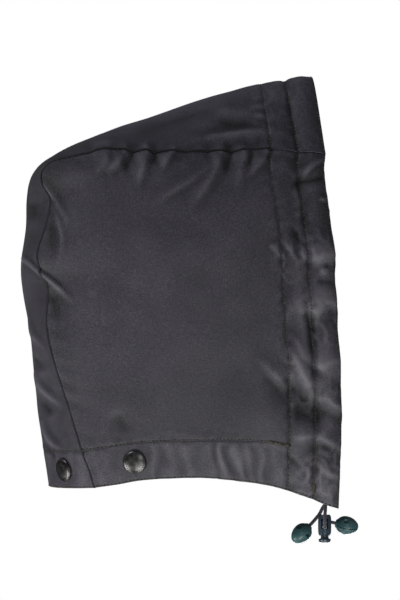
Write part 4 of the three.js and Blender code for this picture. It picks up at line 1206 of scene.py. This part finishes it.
def cord_tube(name, line, diameter, material):
    """A round cord along a line, closed at both ends, with a map that runs along and round it."""
    tangent = unit(np.gradient(line, axis=0))
    side = unit(np.cross(tangent[0], [0.3, 0.2, 1]))
    rings = []
    turns = np.linspace(0, 2 * math.pi, CORD_SIDES, endpoint=False)
    for place, direction in zip(line, tangent):
        side = unit(side - direction * (side @ direction))
        other = np.cross(direction, side)
        round_ring = np.cos(turns)[:, None] * side + np.sin(turns)[:, None] * other
        rings.append(place + diameter / 2 * round_ring)
    points = np.concatenate([*rings, line[:1], line[-1:]])
    run = lengths_along(line)
    count = len(line)
    faces = []
    for i in range(count - 1):
        for k in range(CORD_SIDES):
            after = (k + 1) % CORD_SIDES
            low, high = i * CORD_SIDES, (i + 1) * CORD_SIDES
            faces.append([low + k, low + after, high + after, high + k])
    first, last = count * CORD_SIDES, count * CORD_SIDES + 1
    top = (count - 1) * CORD_SIDES
    for k in range(CORD_SIDES):
        after = (k + 1) % CORD_SIDES
        faces.append([first, after, k])
        faces.append([last, top + k, top + after])
    round_it = np.abs(turns / math.pi - 1) * diameter * math.pi
    lie = np.stack([np.tile(round_it, count), np.repeat(run, CORD_SIDES)], axis=1)
    lie = np.concatenate([lie, [[0, 0], [0, run[-1]]]])
    return finish_piece(mesh_piece(name, points, faces, lie), material)


def cords(materials):
    """The drawcord in its channel and its two tails."""
    sheet = round_the_face(np.array([CHANNEL_LINE / 2]))
    line = (sheet["point"] - sheet["out"] * TUNNEL / 2)[:, 0]
    clear = np.linalg.norm(line - EXIT[1], axis=1) > EXIT_CLEAR
    clear &= np.linalg.norm(line - EXIT[-1], axis=1) > EXIT_CLEAR
    inner = line[clear][::3]
    start, end = (np.array(EXIT[side]) + unit(np.array(EXIT[side]) - MOUTH[side]) * 0.3 for side in (1, -1))
    channel = flowing(np.array([start, *inner, end]), 2)
    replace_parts(cord_tube("cord_in_channel", channel, CORD, materials["cord_braid"]), "drawcord")
    tails = {}
    for word, side in (("right", 1), ("left", -1)):
        line = flowing(route(side), 6)
        piece = cord_tube(f"cord_{word}", line, CORD, materials["cord_braid"])
        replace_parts(piece, f"cord_tail_{word}")
        tails[side] = (piece, line)
    return tails


# Hard pieces
def turned(name, profile, sides, closed_start=True, closed_end=True):
    """A piece turned round the Z axis: a ring drawn out and resized through each step of its profile."""
    clear_selection()
    radius, level = profile[0]
    fill = "NGON" if closed_start else "NOTHING"
    bpy.ops.mesh.primitive_circle_add(
        vertices=sides, radius=radius * MM, fill_type=fill, location=(0, 0, level * MM)
    )
    piece = bpy.context.object
    piece.name = name
    bpy.ops.object.transform_apply(location=True, rotation=True, scale=True)
    bpy.ops.object.mode_set(mode="EDIT")
    bpy.ops.mesh.select_mode(type="EDGE")
    bpy.ops.mesh.select_all(action="SELECT")
    if closed_start:
        bpy.ops.mesh.region_to_loop()
    for last, now in zip(profile, profile[1:]):
        bpy.ops.mesh.extrude_edges_move(TRANSFORM_OT_translate={"value": (0, 0, (now[1] - last[1]) * MM)})
        if now[0] != last[0]:
            share = now[0] / last[0]
            bpy.ops.transform.resize(value=(share, share, 1), center_override=(0, 0, now[1] * MM))
    if closed_end:
        bpy.ops.mesh.edge_face_add()
    bpy.ops.mesh.select_all(action="SELECT")
    bpy.ops.mesh.remove_doubles(threshold=1e-6)
    bpy.ops.mesh.normals_make_consistent(inside=False)
    bpy.ops.object.mode_set(mode="OBJECT")
    return piece


def smooth_by_angle(piece, degrees=35):
    """Smooths a piece's shading, but not over sharper edges than this."""
    pick(piece)
    bpy.ops.object.shade_smooth_by_angle(angle=math.radians(degrees))


def copied(piece, name):
    """Another of the same piece, with its own mesh."""
    made = piece.copy()
    made.data = piece.data.copy()
    made.name = name
    SCENE.collection.objects.link(made)
    return made


def set_at(piece, place, turn):
    """Turns a piece that was modelled at the origin and puts it at its place, with both in its mesh."""
    piece.matrix_world = Matrix.Translation(Vector(place) * MM) @ turn.to_matrix().to_4x4()
    pick(piece)
    bpy.ops.object.transform_apply(location=True, rotation=True, scale=True)
    return piece


def standing(direction):
    """The turn that takes upright to a direction."""
    return Vector((0, 0, 1)).rotation_difference(Vector(direction))


def cut_out(piece, cutter):
    """Takes the cutter's space out of a piece."""
    pick(piece)
    change = piece.modifiers.new("opening", "BOOLEAN")
    change.operation = "DIFFERENCE"
    change.solver = "EXACT"
    change.object = cutter
    bpy.ops.object.modifier_apply(modifier=change.name)
    bpy.data.objects.remove(cutter)


def block(size, place, bevel):
    """A block with rounded edges, used to cut an opening."""
    clear_selection()
    bpy.ops.mesh.primitive_cube_add(size=1, location=Vector(place) * MM)
    made = bpy.context.object
    made.scale = Vector(size) * MM
    bpy.ops.object.transform_apply(location=True, rotation=True, scale=True)
    bpy.ops.object.mode_set(mode="EDIT")
    bpy.ops.mesh.select_all(action="SELECT")
    bpy.ops.mesh.bevel(offset=bevel * MM, segments=3, affect="EDGES")
    bpy.ops.object.mode_set(mode="OBJECT")
    return made


def drill(diameter, length, place):
    """A round bar along Y, used to cut a hole."""
    clear_selection()
    bpy.ops.mesh.primitive_cylinder_add(
        vertices=32,
        radius=diameter / 2 * MM,
        depth=length * MM,
        location=Vector(place) * MM,
        rotation=(math.pi / 2, 0, 0),
    )
    bpy.ops.object.transform_apply(location=True, rotation=True, scale=True)
    return bpy.context.object


def softened(piece, width):
    """Rounds a piece's sharp edges."""
    pick(piece)
    change = piece.modifiers.new("soft_edges", "BEVEL")
    change.width = width * MM
    change.segments = 2
    change.limit_method = "ANGLE"
    change.angle_limit = math.radians(50)
    change.harden_normals = False
    bpy.ops.object.modifier_apply(modifier=change.name)


# Outlines of the turned pieces, as radius and height. The cap's rises from its seat on the cloth.
CAP_SEAT = CLOTH + 0.6
CAP_RIM = [(8.3, 0), (8.85, 0.02), (9.3, 0.25), (9.5, 0.7), (9.45, 1.15), (9.2, 1.6), (8.8, 1.95)]
CAP_DOME = [(8.3, 2.22), (7.8, 2.46), (6.7, 2.86), (5.6, 3.16), (4.4, 3.38), (3.2, 3.53), (2, 3.62)]
CAP_MIDDLE = [(1, 3.66), (0.4, 3.67)]
CAP_POST = [(2.5, -4.8), (2.5, CAP_SEAT)]
CAP_SIDES = 52
DOT_RING = (7.0, 8.0)  # the dots are struck between these radii
DOT_DEPTH = 0.8


def snap_cap():
    """A press stud's cap: a smooth dome with a ring of struck dots near its rolled rim, and its post."""
    outline = [(radius, CAP_SEAT + height) for radius, height in [*CAP_RIM, *CAP_DOME, *CAP_MIDDLE]]
    cap = turned("snap_cap", [*CAP_POST, *outline], CAP_SIDES)
    bpy.ops.object.mode_set(mode="EDIT")
    bpy.ops.mesh.select_mode(type="FACE")
    bpy.ops.mesh.select_all(action="DESELECT")
    bpy.ops.object.mode_set(mode="OBJECT")
    for face in cap.data.polygons:
        centre = face.center
        radius = math.hypot(centre.x, centre.y) / MM
        turn = math.atan2(centre.y, centre.x) * CAP_SIDES / (2 * math.pi) - 0.5
        on_ring = DOT_RING[0] < radius < DOT_RING[1] and centre.z / MM > CAP_SEAT + 2
        face.select = on_ring and round(turn) % 2 == 0
    bpy.ops.object.mode_set(mode="EDIT")
    bpy.ops.mesh.inset(thickness=0.03 * MM, depth=0, use_individual=True)
    bpy.ops.mesh.inset(thickness=0.02 * MM, depth=-DOT_DEPTH * MM, use_individual=True)
    bpy.ops.object.mode_set(mode="OBJECT")
    smooth_by_angle(cap, 40)
    return cap


SOCKET_SEAT = -PLY_GAP - FACING - 1.0  # against the neck facing, inside
SOCKET_PROFILE = [
    (2.9, 0),
    (5.9, 0),
    (6.25, -0.35),
    (6.25, -1.35),
    (6.0, -1.7),
    (5.75, -2.1),
    (5.55, -3.6),
    (5.3, -4.1),
    (4.9, -4.2),
    (4.1, -4.2),
    (3.7, -4.0),
    (3.5, -3.6),
    (3.5, -1.8),
    (3.3, -1.7),
    (2.9, -1.7),
]


def snap_socket():
    """A press stud's socket: a stepped ring with a rolled lip round its mouth."""
    profile = [(radius, SOCKET_SEAT + height) for radius, height in SOCKET_PROFILE]
    socket = turned("snap_socket", [*profile, profile[0]], 40, closed_start=False, closed_end=False)
    smooth_by_angle(socket, 40)
    return socket


def press_studs(materials):
    """The four press studs, each with its cap outside and its socket inside."""
    cap, socket = snap_cap(), snap_socket()
    for name, (place, out) in SNAPS.items():
        for model, kind in ((cap, "cap"), (socket, "socket")):
            piece = set_at(copied(model, f"stud_{kind}_{name}"), place, standing(out))
            finish_piece(piece, materials["snap_metal"], [f"snap_{kind}_{name}"])
    bpy.data.objects.remove(cap)
    bpy.data.objects.remove(socket)


BARREL_TOP = 9.8
BARREL_FOOT = -7.0
BARREL_BORE = 3.8
BARREL_PROFILE = [
    (BARREL_BORE, 7.4),
    (BARREL_BORE, BARREL_FOOT + 0.2),
    (BARREL_BORE + 0.2, BARREL_FOOT),
    (4.2, BARREL_FOOT),
    (4.55, BARREL_FOOT + 0.4),
    (4.95, BARREL_FOOT + 1.5),
    (5.2, BARREL_FOOT + 3.0),
    (5.3, BARREL_FOOT + 5.5),
    (5.3, BARREL_TOP - 4.5),
    (5.2, BARREL_TOP - 2.6),
    (4.95, BARREL_TOP - 1.4),
    (4.5, BARREL_TOP - 0.5),
    (3.9, BARREL_TOP - 0.1),
    (3.4, BARREL_TOP),
    (1.5, BARREL_TOP),
]
BUTTON_PROFILE = [
    (3.4, -12.7),
    (3.95, -12.55),
    (4.25, -12.2),
    (4.6, -11.4),
    (4.9, -10.75),
    (5.0, -10.4),
    (4.95, -10.1),
    (4.75, -9.85),
    (4.3, -9.65),
    (3.7, -9.45),
    (3.3, -9.2),
    (3.15, -8.8),
    (3.1, -6.4),
    (3.2, -5.6),
    (3.4, -5.1),
    (3.5, -4.8),
    (3.5, 5.0),
    (3.4, 5.1),
]
# Openings in the lock: size, place and how round their edges are
WINDOW = ((5.6, 8, 8.2), (0, -5.3, 2.3), 0.9)
FOOT_NOTCH = ((5.2, 4, 5.6), (0, -4.4, BARREL_FOOT), 0.9)
BUTTON_SLOT = ((3.6, 12, 6.6), (0, 0, -0.5), 0.8)
CORD_HOLE = CORD + 0.3


def cord_lock(materials):
    """The lock's barrel, with a window in front where the cord shows, a notch at its foot and a round hole
    behind, and the sprung button under it, whose slot the cord passes through."""
    place = np.array(EXIT[1]) + [LOCK_HOLE[0], -LOCK_HOLE[1], LOCK_HOLE[2]]
    upright = standing((0, 0, 1))
    plastic = materials["lock_plastic"]
    barrel = turned("lock_barrel_body", BARREL_PROFILE, 48)
    cut_out(barrel, block(*WINDOW))
    cut_out(barrel, block(*FOOT_NOTCH))
    cut_out(barrel, drill(CORD_HOLE, 6, (0, 5.3, 0)))
    softened(barrel, 0.22)
    smooth_by_angle(barrel)
    set_at(barrel, place, upright)
    finish_piece(barrel, plastic, ["lock_barrel"])
    button = turned("lock_button_body", BUTTON_PROFILE, 40)
    cut_out(button, block(*BUTTON_SLOT))
    softened(button, 0.15)
    smooth_by_angle(button)
    set_at(button, place, upright)
    finish_piece(button, plastic, ["lock_button"], body="lock_button")
    return [barrel, button]


END_PROFILE = [
    (1.75, 7.2),
    (1.95, 7.0),
    (2.0, 0.35),
    (2.15, 0.05),
    (2.6, 0.0),
    (2.95, 0.25),
    (3.3, 0.8),
    (3.9, 1.5),
    (4.9, 2.3),
    (5.75, 3.2),
    (6.5, 4.4),
    (7.05, 5.8),
    (7.32, 7.4),
    (7.4, 9.0),
    (7.2, 10.8),
    (6.75, 12.5),
    (6.0, 14.2),
    (5.0, 15.8),
    (3.9, 17.1),
    (2.6, 18.1),
    (1.3, 18.5),
    (0.4, 18.6),
]
END_SPLIT = 0.6  # the gap between the halves
END_ROLL = {1: 112, -1: 38}  # how each end is turned round its cord, in degrees
LATCH_SIZE = (2.6, 7.0, 2.9)
LATCH_PLACE = (4.6, 6.0, 8.2)  # out to the side, up from the split and along the cord


def cord_end_half(upper):
    """Half of a cord end: an oval shell cut along its middle, with two small latch windows in its face."""
    sign = 1 if upper else -1
    half = turned("cord_end_half", END_PROFILE, 48)
    bpy.ops.object.mode_set(mode="EDIT")
    bpy.ops.mesh.select_all(action="SELECT")
    bpy.ops.mesh.bisect(
        plane_co=(0, sign * END_SPLIT / 2 * MM, 0), plane_no=(0, sign, 0), use_fill=True, clear_inner=True
    )
    bpy.ops.mesh.select_all(action="SELECT")
    bpy.ops.mesh.normals_make_consistent(inside=False)
    bpy.ops.object.mode_set(mode="OBJECT")
    for hand in (-1, 1):
        cut_out(half, block(LATCH_SIZE, Vector((hand, sign, 1)) * Vector(LATCH_PLACE), 0.2))
    softened(half, 0.22)
    smooth_by_angle(half)
    return half


def cord_ends(materials):
    """The two-part ends that close round the cords' tips."""
    ends = {1: [], -1: []}
    for upper, word in ((True, "upper"), (False, "lower")):
        model = cord_end_half(upper)
        for side, hand in ((1, "right"), (-1, "left")):
            points = route(side)
            direction = unit(points[-1] - points[-3])
            place = points[-1] - direction * CORD_GRIP
            roll = Matrix.Rotation(math.radians(END_ROLL[side]), 3, "Z").to_quaternion()
            piece = set_at(copied(model, f"end_{hand}_{word}"), place, standing(direction) @ roll)
            finish_piece(piece, materials["end_plastic"], [f"cord_end_{hand}_{word}"])
            ends[side].append(piece)
        bpy.data.objects.remove(model)
    return ends


# Materials
def linear(code):
    """An sRGB hex colour as linear values."""
    parts = [int(code[i : i + 2], 16) / 255 for i in (0, 2, 4)]
    return (*[p / 12.92 if p <= 0.04045 else ((p + 0.055) / 1.055) ** 2.4 for p in parts], 1)


def node(tree, kind, inputs=None, **settings):
    """A node with its settings, and its inputs given as values or linked from sockets."""
    made = tree.nodes.new(kind)
    for name, value in settings.items():
        setattr(made, name, value)
    for name, value in (inputs or {}).items():
        if isinstance(value, bpy.types.NodeSocket):
            tree.links.new(value, made.inputs[name])
        else:
            made.inputs[name].default_value = value
    return made


def new_material(name, **shader_values):
    """A material with a Principled shader that has these values."""
    material = bpy.data.materials.new(name)
    material.use_nodes = True
    shader = material.node_tree.nodes["Principled BSDF"]
    for socket, value in shader_values.items():
        shader.inputs[socket.replace("_", " ")].default_value = value
    return material, material.node_tree, shader


def tone(ramp, first, last, *between):
    """Gives a colour ramp its hex colours, each with its place from 0 to 1."""
    stops = ramp.color_ramp.elements
    for stop, (at, code) in ((stops[0], first), (stops[1], last)):
        stop.position = at
        stop.color = linear(code)
    for at, code in between:
        stops.new(at).color = linear(code)


def feed(tree, shader, colour, dull, bump):
    """Links a material's colour, roughness and bump into its shader."""
    tree.links.new(colour.outputs["Color"], shader.inputs["Base Color"])
    tree.links.new(bump.outputs["Normal"], shader.inputs["Normal"])
    if dull:
        tree.links.new(dull.outputs["Result"], shader.inputs["Roughness"])


# Wave textures have a wave every 2 pi / 20 / scale metres
WEAVE_SCALE = 240  # 1.3 mm
PLAIT_SCALE = 130  # 2.4 mm


def waxed_cloth(name, deep, plain, rubbed, roughness):
    """Waxed cotton, woven and then soaked in wax: dark and a little uneven, with a low sheen and a fine grain.
    Its colour follows the painted wear and shade on the mesh: paler where creases have rubbed the wax, and
    with the painted light and shade of folds, hollows, stitch grooves, seams and broad patches. The real
    threads are 0.35 mm apart, too fine to show, so they are drawn 1.3 mm apart."""
    material, tree, shader = new_material(
        name, Metallic=0, IOR=1.46, Sheen_Weight=0.04, Sheen_Roughness=0.5, Specular_IOR_Level=0.5
    )
    place = node(tree, "ShaderNodeTexCoord").outputs["Object"]
    lie = node(tree, "ShaderNodeUVMap", uv_map="lie").outputs["UV"]
    wear_and_shade = node(tree, "ShaderNodeAttribute", attribute_name="wear_and_shade").outputs["Fac"]
    clouds = node(tree, "ShaderNodeTexNoise", {"Vector": place, "Scale": 28, "Detail": 5, "Roughness": 0.6})
    grain = node(tree, "ShaderNodeTexNoise", {"Vector": place, "Scale": 800, "Detail": 2, "Roughness": 0.6})
    clouds = clouds.outputs["Fac"]
    thread = {"Vector": lie, "Scale": WEAVE_SCALE, "Distortion": 2.5, "Detail": 2, "Detail Scale": 3}
    warp, weft = (node(tree, "ShaderNodeTexWave", thread, bands_direction=way).outputs["Fac"] for way in "XY")
    weave = node(tree, "ShaderNodeMath", {0: warp, 1: weft}, operation="MULTIPLY").outputs[0]
    grain = grain.outputs["Fac"]
    mottle = node(tree, "ShaderNodeMath", {0: clouds, 1: 0.25}, operation="MULTIPLY").outputs[0]
    speck = node(tree, "ShaderNodeMath", {0: grain, 1: 0.85, 2: mottle}, operation="MULTIPLY_ADD").outputs[0]
    woven = node(tree, "ShaderNodeMath", {0: weave, 1: 0.06, 2: speck}, operation="MULTIPLY_ADD").outputs[0]
    rub_and_shade = node(tree, "ShaderNodeMath", {0: wear_and_shade, 1: 0.9, 2: -0.39}, operation="MULTIPLY_ADD").outputs[0]
    shade = node(tree, "ShaderNodeMath", {0: woven, 1: rub_and_shade}, operation="ADD").outputs[0]
    colour = node(tree, "ShaderNodeValToRGB", {"Fac": shade})
    # The darkest stop is reached by the painted shadow in the seams and the painted shade in hollows and
    # grooves; the pale stop by rubbed creases and by painted light
    tone(colour, (0, "0e0e0c"), (1, rubbed), (0.2, deep), (0.52, plain))
    dull = node(
        tree,
        "ShaderNodeMapRange",
        {
            "Value": speck,
            "From Min": 0.3,
            "From Max": 0.9,
            "To Min": roughness - 0.08,
            "To Max": roughness + 0.1,
        },
    )
    fine = node(tree, "ShaderNodeMath", {0: weave, 1: 0.15, 2: grain}, operation="MULTIPLY_ADD").outputs[0]
    bump = node(tree, "ShaderNodeBump", {"Height": fine, "Strength": 0.6, "Distance": 0.0005})
    feed(tree, shader, colour, dull, bump)
    return material


def sewing_thread():
    """Polyester sewing thread, spun: dark olive and matt, with paler flecks that are partly the tone of its
    fibres and partly painted glints.
    """
    material, tree, shader = new_material(
        "sewing_thread", Metallic=0, IOR=1.5, Roughness=0.75, Sheen_Weight=0.2
    )
    place = node(tree, "ShaderNodeTexCoord").outputs["Object"]
    fibre_flecks_and_glints = node(tree, "ShaderNodeTexNoise", {"Vector": place, "Scale": 420, "Detail": 3}).outputs["Fac"]
    colour = node(tree, "ShaderNodeValToRGB", {"Fac": fibre_flecks_and_glints})
    # The pale stop is partly the fibres' tone and partly painted glints
    tone(colour, (0.4, "0f0f0b"), (0.6, "4e4b3b"))
    bump = node(tree, "ShaderNodeBump", {"Height": fibre_flecks_and_glints, "Strength": 0.4, "Distance": 0.0001})
    feed(tree, shader, colour, None, bump)
    return material


def gunmetal():
    """Brass, stamped and plated in gunmetal: a grey metal gloss softened by handling, with paler patches
    where the plating has rubbed."""
    material, tree, shader = new_material("plated_gunmetal", Metallic=1)
    place = node(tree, "ShaderNodeTexCoord").outputs["Object"]
    stain = node(tree, "ShaderNodeTexNoise", {"Vector": place, "Scale": 260, "Detail": 5, "Roughness": 0.65})
    pits = node(tree, "ShaderNodeTexNoise", {"Vector": place, "Scale": 1900, "Detail": 3})
    stain = stain.outputs["Fac"]
    colour = node(tree, "ShaderNodeValToRGB", {"Fac": stain})
    tone(colour, (0.3, "42413f"), (0.75, "7d7c7a"))
    dull = node(
        tree,
        "ShaderNodeMapRange",
        {"Value": stain, "From Min": 0.3, "From Max": 0.7, "To Min": 0.28, "To Max": 0.38},
    )
    bump = node(tree, "ShaderNodeBump", {"Height": pits.outputs["Fac"], "Strength": 0.12, "Distance": 0.0001})
    feed(tree, shader, colour, dull, bump)
    return material


def braided_cord():
    """Polyester cord, braided: charcoal and matt, its plaits crossing in small diamonds. The real plaits are
    about 1.2 mm wide, too fine to show, so they are drawn twice as wide."""
    material, tree, shader = new_material(
        "braided_cord", Metallic=0, IOR=1.5, Roughness=0.8, Sheen_Weight=0.3
    )
    lie = node(tree, "ShaderNodeUVMap", uv_map="lie").outputs["UV"]
    waves = []
    for turn in (0.7, -0.7):
        slanting = {"Vector": lie, "Rotation": (0, 0, turn)}
        slanted = node(tree, "ShaderNodeMapping", slanting, vector_type="POINT").outputs[0]
        strands = {"Vector": slanted, "Scale": PLAIT_SCALE}
        waves.append(node(tree, "ShaderNodeTexWave", strands, bands_direction="Y").outputs["Fac"])
    plaits = node(tree, "ShaderNodeMath", {0: waves[0], 1: waves[1]}, operation="MAXIMUM").outputs[0]
    colour = node(tree, "ShaderNodeValToRGB", {"Fac": plaits})
    tone(colour, (0, "232228"), (1, "56535c"))
    bump = node(tree, "ShaderNodeBump", {"Height": plaits, "Strength": 0.8, "Distance": 0.0003})
    feed(tree, shader, colour, None, bump)
    return material


def moulded_plastic(name, deep, pale, roughness):
    """Acetal, injection moulded: a smooth satin skin with faint flow marks and fine scuffs."""
    material, tree, shader = new_material(name, Metallic=0, IOR=1.48)
    place = node(tree, "ShaderNodeTexCoord").outputs["Object"]
    flow = node(tree, "ShaderNodeTexNoise", {"Vector": place, "Scale": 180, "Detail": 4}).outputs["Fac"]
    scuffs = node(tree, "ShaderNodeTexNoise", {"Vector": place, "Scale": 1400, "Detail": 3}).outputs["Fac"]
    colour = node(tree, "ShaderNodeValToRGB", {"Fac": flow})
    tone(colour, (0.25, deep), (0.8, pale))
    dull = node(
        tree,
        "ShaderNodeMapRange",
        {
            "Value": scuffs,
            "From Min": 0.3,
            "From Max": 0.7,
            "To Min": roughness - 0.05,
            "To Max": roughness + 0.1,
        },
    )
    bump = node(tree, "ShaderNodeBump", {"Height": scuffs, "Strength": 0.08, "Distance": 0.0001})
    feed(tree, shader, colour, dull, bump)
    return material


def studio_floor():
    """A pale matt floor, well below the hood, that throws soft light up at it."""
    clear_selection()
    bpy.ops.mesh.primitive_plane_add(size=FLOOR_SIZE, location=(0, 0, FLOOR_LEVEL))
    floor = bpy.context.object
    floor.name = "studio_floor"
    material, tree, shader = new_material("matt_floor", Roughness=0.9)
    place = node(tree, "ShaderNodeTexCoord").outputs["Object"]
    paper = node(tree, "ShaderNodeTexNoise", {"Vector": place, "Scale": 3}).outputs["Fac"]
    colour = node(tree, "ShaderNodeValToRGB", {"Fac": paper})
    tone(colour, (0, "eeeeee"), (1, "f6f6f6"))
    tree.links.new(colour.outputs["Color"], shader.inputs["Base Color"])
    floor.data.materials.append(material)


def main():
    """Lights the scene, then makes every piece of the hood, the cords first."""
    camera_and_light()
    studio_floor()
    materials = {
        "waxed_cotton": waxed_cloth("waxed_cotton", "28272a", "424047", "68666b", 0.55),
        "facing_cotton": waxed_cloth("waxed_facing_cotton", "2a292e", "3c3b40", "55535a", 0.66),
        "thread": sewing_thread(),
        "snap_metal": gunmetal(),
        "cord_braid": braided_cord(),
        "lock_plastic": moulded_plastic("moulded_lock_acetal", "2a3743", "43545f", 0.24),
        "end_plastic": moulded_plastic("moulded_end_acetal", "2f4f51", "4d7375", 0.3),
    }
    tails = cords(materials)
    side_panel("right", 1, materials)
    side_panel("left", -1, materials)
    centre_panel(materials)
    face_facing(materials)
    neck_facing(materials)
    stitching(materials)
    bar_tacks(materials)
    press_studs(materials)
    lock = cord_lock(materials)
    ends = cord_ends(materials)


main()
